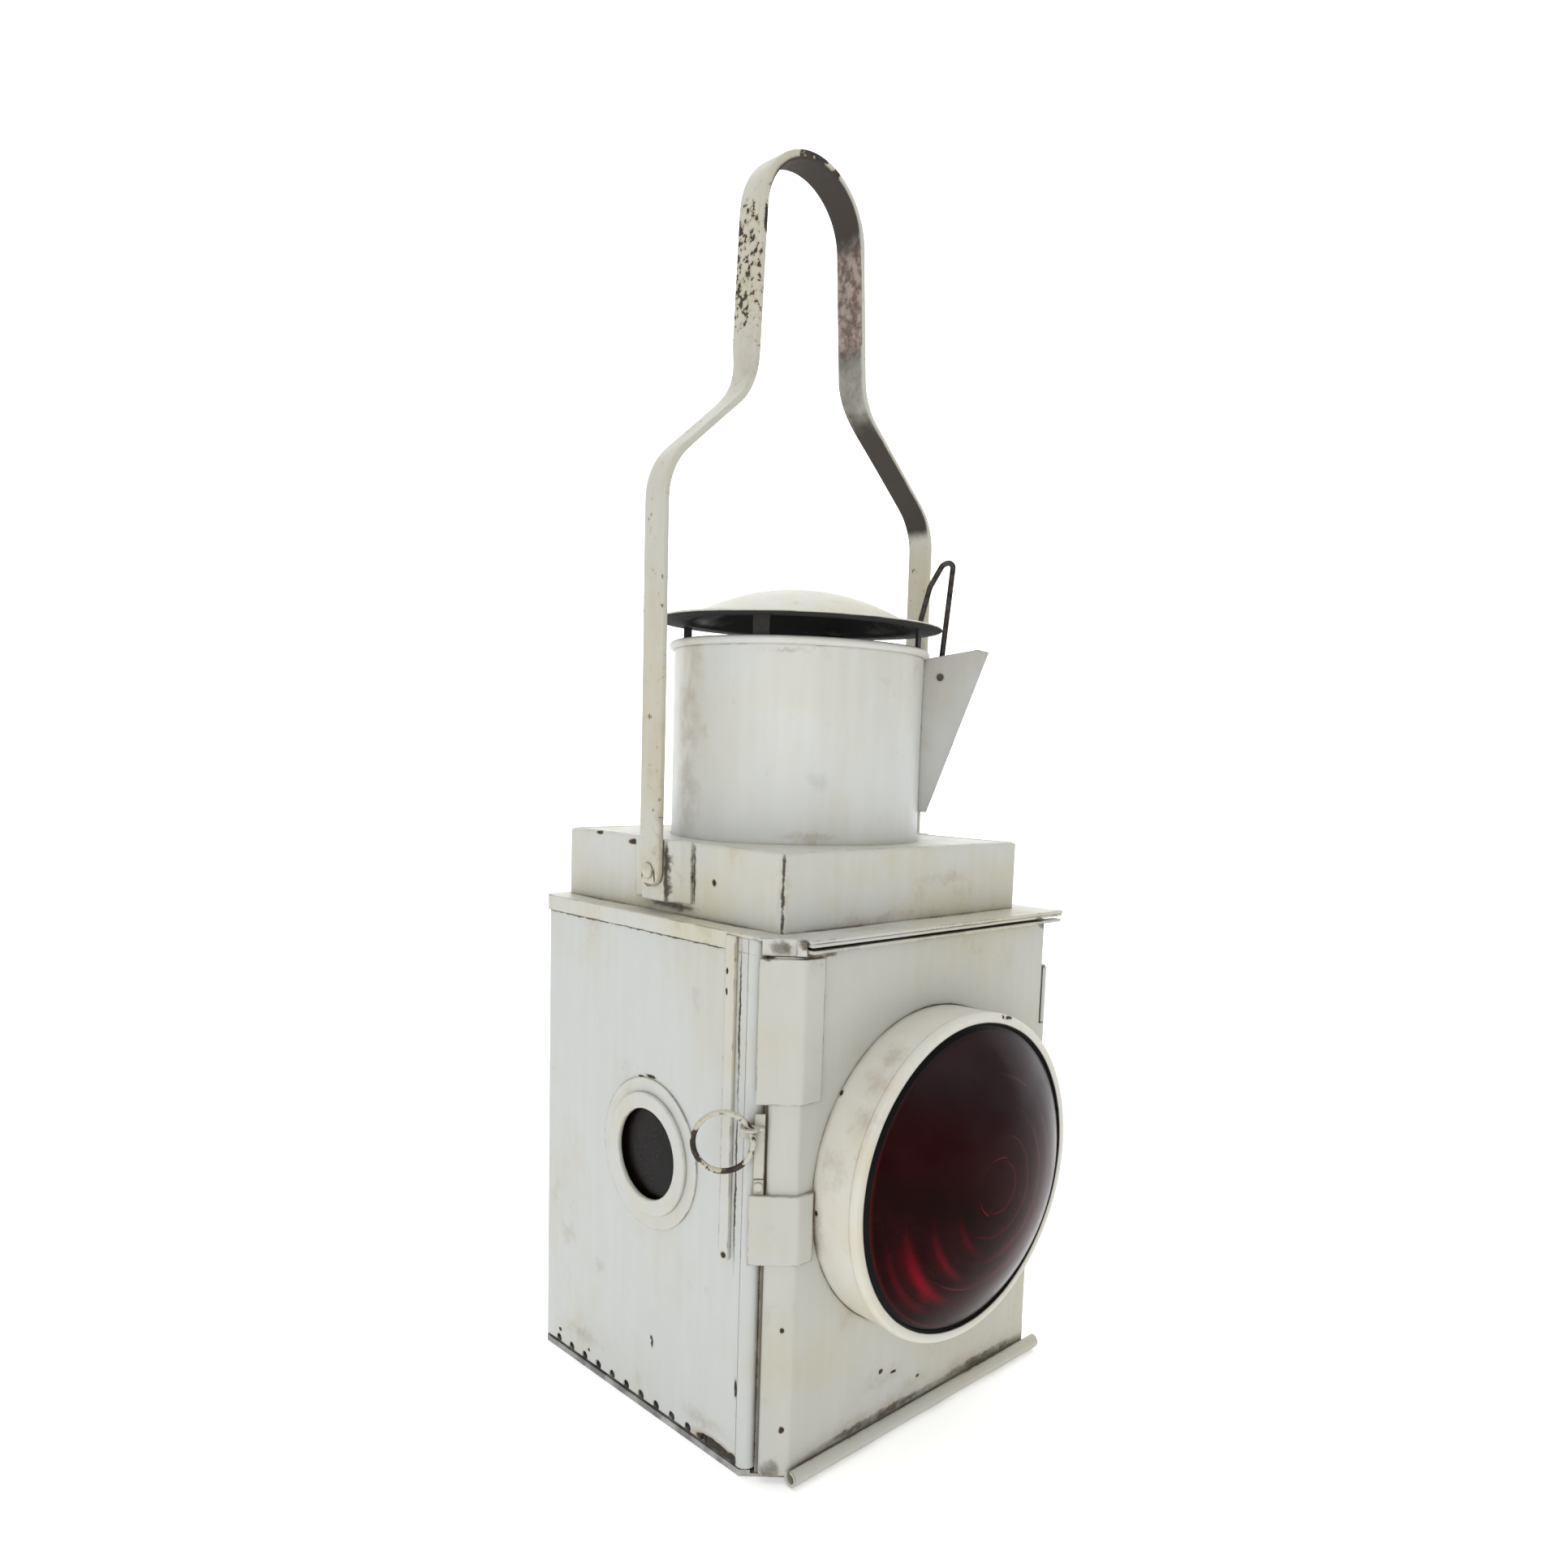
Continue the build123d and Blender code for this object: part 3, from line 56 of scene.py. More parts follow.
def look_through_camera():
    """The photograph's view: yaw, pitch and roll about the camera's own place."""
    place = Vector((-346.4, -364.76, 270.84)) * MM
    yaw, pitch, roll = (math.radians(a) for a in (45.5, -6.42, 2.04))
    ahead = Vector((math.sin(yaw) * math.cos(pitch), math.cos(yaw) * math.cos(pitch),
                    math.sin(pitch)))
    right = Vector((math.cos(yaw), -math.sin(yaw), 0))
    up = right.cross(ahead)
    turned_right = right * math.cos(roll) + up * math.sin(roll)
    turned_up = up * math.cos(roll) - right * math.sin(roll)
    camera = bpy.data.objects.new("camera", bpy.data.cameras.new("camera"))
    camera.matrix_world = (Matrix.Translation(place)
                           @ Matrix((turned_right, turned_up, -ahead)).transposed().to_4x4())
    camera.data.lens = 26.28
    camera.data.sensor_width = 36.0
    camera.data.shift_x = -0.0359
    camera.data.shift_y = 0.0641
    camera.data.clip_start = 0.01
    bpy.context.scene.collection.objects.link(camera)
    bpy.context.scene.camera = camera


def window(name, place, size, power):
    """A square soft light that faces the middle of the lamp."""
    light = bpy.data.lights.new(name, "AREA")
    light.shape = "RECTANGLE"
    light.size = light.size_y = size
    light.energy = power
    holder = bpy.data.objects.new(name, light)
    holder.location = Vector(place)
    way = Vector((0, 0, 0.2)) - Vector(place)
    holder.rotation_euler = way.to_track_quat("-Z", "Y").to_euler()
    bpy.context.scene.collection.objects.link(holder)


def staged_sheet(name, corners, glow):
    """A white sheet that glows a little, so that it stays white behind the lamp."""
    mesh = bpy.data.meshes.new(name)
    mesh.from_pydata(corners, [], [(0, 1, 2, 3)])
    sheet = bpy.data.objects.new(name, mesh)
    bpy.context.scene.collection.objects.link(sheet)
    white = bpy.data.materials.new(name)
    white.use_nodes = True
    shader = white.node_tree.nodes["Principled BSDF"]
    shader.inputs["Base Color"].default_value = (0.93, 0.93, 0.93, 1)
    shader.inputs["Roughness"].default_value = 0.9
    shader.inputs["Specular IOR Level"].default_value = 0.0
    shader.inputs["Emission Color"].default_value = (1, 1, 1, 1)
    shader.inputs["Emission Strength"].default_value = glow
    mesh.materials.append(white)


def studio():
    """Two windows, a floor and a backdrop, in a dim world that looks white where it is seen."""
    scene = bpy.context.scene
    scene.view_settings.view_transform = "Standard"
    world = bpy.data.worlds.new("studio")
    world.use_nodes = True
    tree = world.node_tree
    dim = tree.nodes["Background"]
    dim.inputs["Color"].default_value = (0.97, 0.985, 1.0, 1)
    dim.inputs["Strength"].default_value = 0.38
    white = tree.nodes.new("ShaderNodeBackground")
    white.inputs["Color"].default_value = (1, 1, 1, 1)
    white.inputs["Strength"].default_value = 1.0
    chosen = tree.nodes.new("ShaderNodeMixShader")
    seen = tree.nodes.new("ShaderNodeLightPath").outputs["Is Camera Ray"]
    for source, target in ((seen, chosen.inputs[0]),
                           (dim.outputs[0], chosen.inputs[1]),
                           (white.outputs[0], chosen.inputs[2]),
                           (chosen.outputs[0], tree.nodes["World Output"].inputs["Surface"])):
        tree.links.new(source, target)
    scene.world = world
    window("window_left", (-1.6, -1.2, 0.9), 1.5, 14)
    window("window_above", (-0.3, -0.2, 2.2), 1.6, 12)
    staged_sheet("floor", [(-8, -8, 0), (8, -8, 0), (8, 8, 0), (-8, 8, 0)], 0.40)
    staged_sheet("backdrop", [(-3, 6, -0.2), (6, -3, -0.2), (6, -3, 6), (-3, 6, 6)], 1.0)


# Materials

# Crease tone: grimy deposit, and painted shade where faces meet
CREASE_DIRT_AND_SHADE = (0.16, 0.125, 0.07)
THIN_PAINT = (0.36, 0.31, 0.21)
# A painted highlight along sharp edges, in cream
CREAM_EDGE_HIGHLIGHT = (0.69, 0.63, 0.47)
RUBBED_EDGE = (0.10, 0.07, 0.04)
# Brown stain tone, also used for painted shade on the chimney and the pocket
BROWN_STAIN_AND_SHADE = (0.30, 0.23, 0.14)
# Oily grimy tone, also used for painted shade under lips, plates and the rivet
OILY_GRIME_AND_SHADE = (0.10, 0.08, 0.05)
# Dark tone of seam lines and of painted shadow lines
SEAM_DIRT_AND_SHADOW = (0.055, 0.045, 0.03)
RUSTY_HALO = (0.34, 0.24, 0.12)
BLACK_IRON = (0.012, 0.011, 0.01)
BROWN_IRON = (0.05, 0.032, 0.02)
DARK_RUST = (0.13, 0.09, 0.07)
PALE_RUST = (0.34, 0.28, 0.24)
LAMP_BLACK = (0.014, 0.013, 0.012)
SOOTY_INSIDE = ((0.035, 0.032, 0.03), (0.085, 0.08, 0.075))
RED_GLINT = (0.46, 0.001, 0.022)
BLACK_PUTTY = (0.008, 0.008, 0.008)


class Finish:
    """A node material under construction; every pattern reads Object coordinates or attributes."""

    def __init__(self, name):
        self.material = bpy.data.materials.new(name)
        self.material.use_nodes = True
        self.tree = self.material.node_tree
        self.shader = self.tree.nodes["Principled BSDF"]
        self.place = self.add("ShaderNodeTexCoord").outputs["Object"]

    def feed(self, socket, value):
        """Links a socket to a value that is a socket itself, or else sets it."""
        if isinstance(value, bpy.types.NodeSocket):
            self.tree.links.new(value, socket)
        else:
            socket.default_value = value

    def add(self, kind, feeds=(), **settings):
        """A node of a kind: settings are its properties, and feeds go to its sockets."""
        node = self.tree.nodes.new(kind)
        for key, value in settings.items():
            setattr(node, key, value)
        for key, value in dict(feeds).items():
            self.feed(node.inputs[key], value)
        return node

    def set(self, name, value):
        self.feed(self.shader.inputs[name], value)

    def math(self, operation, *values, clamp=False):
        feeds = dict(enumerate(values))
        return self.add("ShaderNodeMath", feeds, operation=operation, use_clamp=clamp).outputs[0]

    def noise(self, scale, detail, roughness, squash=None):
        """Noise in the piece's own place, drawn out where squash is below 1."""
        place = self.place
        if squash:
            place = self.add("ShaderNodeMapping", {"Vector": place, "Scale": squash}).outputs[0]
        return self.add("ShaderNodeTexNoise", {"Vector": place, "Scale": scale, "Detail": detail,
                                               "Roughness": roughness})

    def ramp(self, value, low, high, to_low=0.0, to_high=1.0):
        """A smooth step from to_low at low to to_high at high."""
        feeds = {"Value": value, "From Min": low, "From Max": high, "To Min": to_low,
                 "To Max": to_high}
        return self.add("ShaderNodeMapRange", feeds, interpolation_type="SMOOTHSTEP").outputs[0]

    def mix(self, factor, first, second):
        """A colour between two colours, each a socket or a triple."""
        node = self.add("ShaderNodeMix", data_type="RGBA")
        self.feed(node.inputs[0], factor)
        for socket, colour in ((node.inputs[6], first), (node.inputs[7], second)):
            self.feed(socket, (*colour, 1) if isinstance(colour, tuple) else colour)
        return node.outputs[2]

    def attribute(self, name):
        return self.add("ShaderNodeAttribute", attribute_name=name).outputs["Fac"]

    def bump(self, height, strength, distance, **more):
        """Roughens the shader's normal by a height."""
        feeds = {"Height": height, "Strength": strength, "Distance": distance, **more}
        self.set("Normal", self.add("ShaderNodeBump", feeds).outputs[0])

    def spots(self, places, ragged, amount):
        """The largest of 1 - distance over a list of ellipsoids, each its middle and half-axes in
        millimetres, on coordinates that a noise shifts by up to the amount in metres."""
        shift = self.add("ShaderNodeVectorMath", {0: ragged, 1: (0.5, 0.5, 0.5)},
                         operation="SUBTRACT").outputs[0]
        shift = self.add("ShaderNodeVectorMath", {0: shift, "Scale": amount},
                         operation="SCALE").outputs[0]
        place = self.add("ShaderNodeVectorMath", {0: self.place, 1: shift},
                         operation="ADD").outputs[0]
        field = None
        for x, y, z, rx, ry, rz in places:
            scale = (1 / (rx * MM), 1 / (ry * MM), 1 / (rz * MM))
            centred = (-x / rx, -y / ry, -z / rz)
            local = self.add("ShaderNodeMapping", {"Vector": place, "Location": centred,
                                                   "Scale": scale}).outputs[0]
            reach = self.add("ShaderNodeVectorMath", {0: local}, operation="LENGTH")
            one = self.math("SUBTRACT", 1.0, reach.outputs["Value"])
            field = one if field is None else self.math("MAXIMUM", field, one)
        return field


def inside_body(f):
    """1 where a place is behind the planes of the body's sheet, and 0 on its outer faces."""
    side, front, roof, cant = 0.0794, 0.0764, 0.2051, 0.1400
    x, y, z = f.add("ShaderNodeSeparateXYZ", {0: f.place}).outputs
    behind_side = f.math("SUBTRACT", side, f.math("ABSOLUTE", x))
    behind_front = f.math("SUBTRACT", front, f.math("ABSOLUTE", y))
    under_roof = f.math("SUBTRACT", roof, z)
    behind_cant = f.math("ADD", f.math("ADD", x, y), cant)
    depth = f.math("MINIMUM", f.math("MINIMUM", behind_side, behind_front),
                   f.math("MINIMUM", under_roof, behind_cant))
    return f.math("GREATER_THAN", depth, 0.0)


def aged_paint(name, white, cream, chips=(), stains_and_shade=(), grime_and_shade=(), seams_and_shadows=(), creases=0.95,
               hollow_body=False, soot_and_shade_colour=LAMP_BLACK):
    """Brush-painted white gone cream in places, darkened in creases by grimy deposit and painted
    shade, with a painted cream highlight along sharp edges, chipped to black iron.  Lists of
    places give the stain, grimy, seam and chip marks, and some of those places are painted shade
    and painted shadow lines; a mesh adds its own wear, rust and black marks, the black marks a
    deposit and painted shade."""
    f = Finish(name)
    broad = f.noise(16, 4, 0.55).outputs["Fac"]
    mottle = f.noise(95, 5, 0.62).outputs["Fac"]
    uneven = f.math("SUBTRACT", mottle, 0.5)
    fine = f.noise(520, 3, 0.6).outputs["Fac"]
    ragged = f.noise(260, 4, 0.65)
    streak = f.noise(210, 3, 0.5, (1, 1, 0.09)).outputs["Fac"]

    def soiled(clean, places, amount, reach, patches, tone):
        """A colour with a tone over it near the places, stronger where the mottle is high."""
        if not places:
            return clean
        near_places = f.spots(places, ragged.outputs["Color"], amount)
        cover = f.math("MULTIPLY", f.ramp(near_places, *reach), f.ramp(mottle, *patches))
        return f.mix(cover, clean, tone)

    # Brushed paint, yellowed and thin in places, darkened where faces meet by grimy deposit and
    # painted shade
    colour = f.mix(f.ramp(broad, 0.42, 0.66), white, cream)
    pale = tuple(min(0.9, tone * 1.09) for tone in white)
    colour = f.mix(f.ramp(streak, 0.35, 0.75, 0.0, 0.30), colour, pale)
    hollow = f.add("ShaderNodeAmbientOcclusion", {"Distance": 0.0055}, samples=8)
    crease = f.math("SUBTRACT", 1.0, hollow.outputs["AO"])
    crease_dirt_and_shade = f.math("MULTIPLY", f.ramp(crease, 0.30, 0.72), f.ramp(mottle, 0.30, 0.58, 0.45, 1.0))
    crease_dirt_and_shade = f.math("MULTIPLY", crease_dirt_and_shade, creases)
    colour = f.mix(crease_dirt_and_shade, colour, CREASE_DIRT_AND_SHADE)
    thin = f.ramp(f.math("ADD", mottle, f.math("MULTIPLY", broad, 0.5)), 0.88, 1.0, 0.0, 0.24)
    colour = f.mix(thin, colour, THIN_PAINT)

    # Sharp edges, found where a rounded normal leaves the face's own: a painted cream highlight
    # runs along them, and rubbed wear in patches
    rounded = f.add("ShaderNodeBevel", {"Radius": 0.0011}, samples=4).outputs[0]
    true_normal = f.add("ShaderNodeNewGeometry").outputs["True Normal"]
    facing = f.add("ShaderNodeVectorMath", {0: rounded, 1: true_normal},
                   operation="DOT_PRODUCT").outputs["Value"]
    edge = f.ramp(facing, 0.97, 0.72)
    colour = f.mix(f.math("MULTIPLY", edge, 0.75), colour, CREAM_EDGE_HIGHLIGHT)
    rubbed = f.math("MULTIPLY", edge, f.ramp(mottle, 0.50, 0.58))
    colour = f.mix(f.math("MULTIPLY", rubbed, 0.9), colour, RUBBED_EDGE)

    colour = soiled(colour, stains_and_shade, 0.010, (-0.1, 0.9), (0.36, 0.60, 0.10, 0.42), BROWN_STAIN_AND_SHADE)
    colour = soiled(colour, grime_and_shade, 0.004, (0.0, 0.55), (0.34, 0.60, 0.45, 0.95), OILY_GRIME_AND_SHADE)
    colour = soiled(colour, seams_and_shadows, 0.0020, (0.0, 0.5), (0.28, 0.44, 0.5, 1.0), SEAM_DIRT_AND_SHADOW)

    # Chips to the iron with a rusty halo, then rust, black marks of deposit and painted shade, and
    # the unpainted inside
    worn = f.math("ADD", f.attribute("wear"), f.math("SUBTRACT", ragged.outputs["Fac"], 1.0))
    chipped = f.ramp(worn, -0.02, 0.02)
    halo = f.ramp(worn, -0.10, 0.02)
    if chips:
        chip = f.spots(chips, ragged.outputs["Color"], 0.0016)
        chipped = f.math("MAXIMUM", chipped, f.ramp(chip, 0.0, 0.12))
        halo = f.math("MAXIMUM", halo, f.ramp(chip, -0.55, 0.05))
    colour = f.mix(f.math("MULTIPLY", halo, 0.6), colour, RUSTY_HALO)
    colour = f.mix(chipped, colour, f.mix(f.ramp(fine, 0.4, 0.65), BLACK_IRON, BROWN_IRON))
    rust = f.math("ADD", f.attribute("rust"), f.math("MULTIPLY", uneven, 1.1))
    rusty = f.mix(f.ramp(ragged.outputs["Fac"], 0.38, 0.62), DARK_RUST, PALE_RUST)
    colour = f.mix(f.ramp(rust, 0.42, 0.60), colour, rusty)
    soot_and_shade_cover = f.math("ADD", f.attribute("soot_and_shade"), f.math("MULTIPLY", uneven, 0.5))
    soot_and_shade_cover = f.ramp(soot_and_shade_cover, 0.15, 0.85)
    colour = f.mix(soot_and_shade_cover, colour, soot_and_shade_colour)
    if hollow_body:
        dull = f.mix(f.ramp(mottle, 0.35, 0.65), *SOOTY_INSIDE)
        colour = f.mix(inside_body(f), colour, dull)
    f.set("Base Color", colour)

    rough = f.ramp(mottle, 0.2, 0.8, 0.34, 0.52)
    rough = f.math("MAXIMUM", rough, f.math("MULTIPLY", f.math("MAXIMUM", chipped, crease_dirt_and_shade), 0.72))
    rough = f.math("MAXIMUM", rough, f.math("MULTIPLY", soot_and_shade_cover, 0.93))
    f.set("Roughness", rough)
    f.set("Specular IOR Level", 0.45)
    height = f.math("MULTIPLY", mottle, 0.00020)
    height = f.math("ADD", height, f.math("MULTIPLY", broad, 0.0009))
    height = f.math("ADD", height, f.math("MULTIPLY", fine, 0.00003))
    height = f.math("ADD", height, f.math("MULTIPLY", streak, 0.00005))
    height = f.math("SUBTRACT", height, f.math("MULTIPLY", chipped, 0.00018))
    f.bump(height, 0.8, 1.0, Normal=rounded)
    return f.material


def bare_metal(name, dark, light, roughness, metallic, scale=160):
    """Metal, rubber, or a black of deposit and painted shade: two tones of one mottled colour, and
    a fine bump.
    """
    f = Finish(name)
    mottle = f.noise(scale, 5, 0.62).outputs["Fac"]
    f.set("Base Color", f.mix(f.ramp(mottle, 0.35, 0.65), dark, light))
    f.set("Roughness", f.ramp(mottle, 0.3, 0.7, roughness - 0.08, roughness + 0.12))
    f.set("Metallic", metallic)
    f.bump(mottle, 0.35, 0.0003)
    return f.material


def coloured_glass(name, colour, film_and_reflection_colour, film, roughness, index):
    """Glass under a dirty film that hides its colour.  The film is thicker in patches, in specks
    and where its mark from the mesh is strong; that mark is a dirty film and also a painted
    reflection over the top and right of the lens.  The glint mark paints a lighter red glint, and
    the black mark paints putty and shade at the edge."""
    f = Finish(name)
    cloud = f.noise(40, 5, 0.62).outputs["Fac"]
    speck = f.noise(900, 2, 0.5).outputs["Fac"]
    # The mesh's mark: a dirty film, and a painted reflection on the red lens
    film_and_reflection = f.math("ADD", f.math("MULTIPLY", f.attribute("film_and_reflection"), film),
                  f.ramp(cloud, 0.38, 0.75, 0.0, film * 0.3))
    film_and_reflection = f.math("ADD", film_and_reflection, f.ramp(speck, 0.71, 0.76, 0.0, 0.25), clamp=True)
    tint = f.mix(f.ramp(film_and_reflection, 0.0, 0.22), colour, film_and_reflection_colour)
    glint = f.attribute("glint")
    tint = f.mix(glint, tint, RED_GLINT)
    film_and_reflection = f.math("MAXIMUM", film_and_reflection, f.math("MULTIPLY", glint, 0.36))
    black = f.attribute("soot_and_shade")
    f.set("Base Color", f.mix(black, tint, BLACK_PUTTY))
    f.set("Roughness", f.ramp(cloud, 0.30, 0.80, roughness, roughness + 0.14))
    f.set("Transmission Weight", f.math("SUBTRACT", 1.0, f.math("MAXIMUM", film_and_reflection, black)))
    f.set("IOR", index)
    f.bump(cloud, 0.10, 0.0004)
    return f.material


def plaited_cotton(name):
    """A flat wick: fine crossed ribs, charred at the top."""
    f = Finish(name)
    rib = f.add("ShaderNodeTexWave", {"Vector": f.place, "Scale": 260.0, "Distortion": 1.0},
                wave_type="BANDS", bands_direction="DIAGONAL").outputs["Fac"]
    height = f.add("ShaderNodeSeparateXYZ", {0: f.place}).outputs["Z"]
    charred = f.ramp(height, 0.088, 0.095)
    colour = f.mix(rib, (0.50, 0.44, 0.33), (0.66, 0.60, 0.47))
    f.set("Base Color", f.mix(charred, colour, (0.02, 0.018, 0.015)))
    f.set("Roughness", 0.95)
    f.bump(rib, 0.6, 0.0003)
    return f.material


# Surfaces

def outward(points, faces):
    """The faces, each turned round if the mesh's signed volume is negative."""
    triangles = [(face[0], face[i], face[i + 1]) for face in faces
                 for i in range(1, len(face) - 1)]
    a, b, c = (points[np.array(triangles)[:, i]] for i in range(3))
    volume = np.einsum("ij,ij->i", a, np.cross(b, c)).sum()
    return faces if volume > 0 else [tuple(reversed(face)) for face in faces]


def skin(name, rings, looped, material, body, stands_for=(), sharp=35, marks=None):
    """A closed mesh over rings[i, j]: j runs round a section, i along a path that is a loop or
    has its two ends closed by a fan to the middle of the end ring.  A mark is a value at each
    point: a function of the points, or an array over the rings."""
    count, around = rings.shape[:2]
    points = rings.reshape(-1, 3)
    i = np.arange(count if looped else count - 1)
    j = np.arange(around)
    i, j = (g.ravel() for g in np.meshgrid(i, j, indexing="ij"))
    i2, j2 = (i + 1) % count, (j + 1) % around
    faces = np.stack([i * around + j, i2 * around + j, i2 * around + j2, i * around + j2], 1)
    faces = [tuple(face) for face in faces.tolist()]
    if not looped:
        first, last = len(points), len(points) + 1
        points = np.vstack([points, rings[0].mean(0), rings[-1].mean(0)])
        end = (count - 1) * around
        faces += [(first, k, (k + 1) % around) for k in range(around)]
        faces += [(last, end + (k + 1) % around, end + k) for k in range(around)]
    faces = outward(points, faces)
    mesh = bpy.data.meshes.new(name)
    mesh.from_pydata((points * MM).tolist(), [], faces)
    mesh.update()
    mesh.polygons.foreach_set("use_smooth", np.ones(len(mesh.polygons), bool))
    mesh.set_sharp_from_angle(angle=math.radians(sharp))
    for key, rule in (marks or {}).items():
        values = rule(points) if callable(rule) else np.asarray(rule).ravel()
        if len(values) < len(points):
            values = np.r_[values, values[0], values[-1]]
        layer = mesh.attributes.new(key, "FLOAT", "POINT")
        layer.data.foreach_set("value", np.clip(values, 0, 1).astype(np.float32))
    mesh.materials.append(material)
    piece = bpy.data.objects.new(name, mesh)
    bpy.context.scene.collection.objects.link(piece)
    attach(piece, body)
    if stands_for:
        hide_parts(*stands_for)


def grid(x, y, z):
    """rings[i, j] from three coordinates, each stretched over the whole grid."""
    return np.stack(np.broadcast_arrays(x, y, z), 2)


def turned(profile, around, origin, axis):
    """A profile turned about an axis: rings[i, j] is origin + radius i times the unit circle at
    angle j + height i times the axis."""
    axis = np.array(axis, float)
    side = np.cross(axis, (0, 0, 1)) if abs(axis[2]) < 0.9 else np.array((1.0, 0, 0))
    side /= np.linalg.norm(side)
    other = np.cross(axis, side)
    angle = np.linspace(0, 2 * np.pi, around, endpoint=False)
    circle = np.cos(angle)[:, None] * side + np.sin(angle)[:, None] * other
    profile = np.array(profile, float)
    return (np.array(origin, float) + profile[:, 0, None, None] * circle[None]
            + profile[:, 1, None, None] * axis)


def arc(middle, radius, start, end, count):
    """Points on an arc: middle + radius times cosine and sine of even angles."""
    return [(middle[0] + radius * math.cos(a), middle[1] + radius * math.sin(a))
            for a in np.linspace(start, end, count)]


def finely(points, step):
    """The same open path in even steps of about the given length."""
    points = np.array(points, float)
    lengths = np.r_[0, np.cumsum(np.linalg.norm(np.diff(points, axis=0), axis=1))]
    even = np.linspace(0, lengths[-1], max(2, int(lengths[-1] / step) + 1))
    return np.stack([np.interp(even, lengths, points[:, k]) for k in range(points.shape[1])], 1)


def beside(path):
    """The unit normal on the right of a plane path, from the differences of its points."""
    ahead = np.gradient(path, axis=0)
    ahead /= np.linalg.norm(ahead, axis=1)[:, None]
    return np.stack([ahead[:, 1], -ahead[:, 0]], 1)


def softened(points, radius, looped=False):
    """A path whose corners are arcs that touch both sides.  An arc's middle is on the corner's
    bisector, radius / sin(half the corner's angle) from the corner."""
    points = np.array(points, float)
    count = len(points)
    out = [] if looped else [points[:1]]
    for k in range(count if looped else count - 2):
        here = points[k] if looped else points[k + 1]
        before = points[k - 1] if looped else points[k]
        after = points[(k + 1) % count] if looped else points[k + 2]
        back = (before - here) / np.linalg.norm(before - here)
        on = (after - here) / np.linalg.norm(after - here)
        half = math.acos(max(-1, min(1, float(back @ on)))) / 2
        middle = here + (back + on) / np.linalg.norm(back + on) * radius / math.sin(half)
        sweep = math.pi / 2 - half
        angle = np.linspace(-sweep, sweep, 9)[:, None]
        inward = (here - middle) / np.linalg.norm(here - middle)
        across = (on - back) / np.linalg.norm(on - back)
        out.append(middle + radius * (np.cos(angle) * inward + np.sin(angle) * across))
    if not looped:
        out.append(points[-1:])
    return np.vstack(out)


def flat_section(width, gauge, radius):
    """A strip's section with round corners: rows of (across the gauge, along the width)."""
    w, g = width / 2, gauge / 2
    return softened([(-g, -w), (g, -w), (g, w), (-g, w)], radius, looped=True)


def away(points, centre, along):
    """The unit direction from an axis through the centre to each point; along is the axis's
    coordinate, which is left out."""
    offset = points - np.array(centre, float)
    offset[..., along] = 0
    return offset / np.linalg.norm(offset, axis=-1)[..., None]


def swell(points, amount, scale, seed):
    """A smooth uneven value at each point: the sum of six sine waves in seeded directions."""
    luck = np.random.RandomState(seed)
    ways = luck.normal(size=(6, 3))
    ways /= np.linalg.norm(ways, axis=1)[:, None]
    phases = luck.uniform(0, 2 * np.pi, 6)
    waves = np.sin(points @ (ways.T * 2 * np.pi / scale) + phases)
    return amount * waves.sum(-1) / 6 ** 0.5


def dent(points, centre, radius, depth):
    """A smooth hollow: depth times a bell curve of the distance from its centre."""
    distance = np.linalg.norm(points - np.array(centre, float), axis=-1)
    return depth * np.exp(-(distance / radius) ** 2)


def near(points, places):
    """The largest of 1 - distance over radius for a list of (x, y, z, radius)."""
    fields = [1 - np.linalg.norm(points - np.array(p[:3]), axis=-1) / p[3] for p in places]
    return np.max(fields, axis=0)


def bell(value, middle, width, power=2):
    """1 at the middle and falling to nothing about a width away; a higher power is flatter."""
    return np.exp(-((value - middle) / width) ** power)


look_through_camera()
studio()


# Places of chips, stain marks, grimy marks, painted shade and painted shadow lines: the middle and
# the half-axes of an ellipsoid

WALL_CHIPS = [(-80, -4.3, 32.6, 1.5, 0.8, 1.0), (-80, -4.9, 30.6, 1.5, 0.7, 2.0),
              (-80, -57.2, 33.5, 1.5, 0.8, 3.4), (-80, -45, 5.0, 2, 11, 2.8),
              (-80, -56, 5, 4, 3, 2.2), (-80, 75.8, 159, 2, 0.9, 2.2),
              (-80, 75.8, 130, 2, 0.8, 1.6), (-80, 64, 9.4, 1.5, 1.2, 0.8),
              (-80, 41, 8.8, 1.5, 0.8, 0.7), (-80, -1.0, 141.0, 1.5, 3.0, 0.7),
              (-80, 5.5, 139.6, 1.5, 2.0, 0.6)]
WALL_STAINS = [(-80, 58, 56, 3, 9, 7), (-80, 33, 50, 3, 6, 4), (-80, -3, 84, 3, 9, 5),
               (-80, 0, 137, 3, 12, 4), (-80, 50, 14, 3, 20, 5), (-80, -40, 12, 3, 22, 5)]
STRIP_CHIPS = [(-81.5, -48.3, 191.4, 2, 0.6, 1.2), (-81.5, -48.2, 183.9, 2, 0.6, 1.3),
               (-81.5, -50, 84, 2, 1.5, 1.2)]
STRIP_GRIME = [(-81.5, -53.5, 195, 2.5, 1.5, 4)]
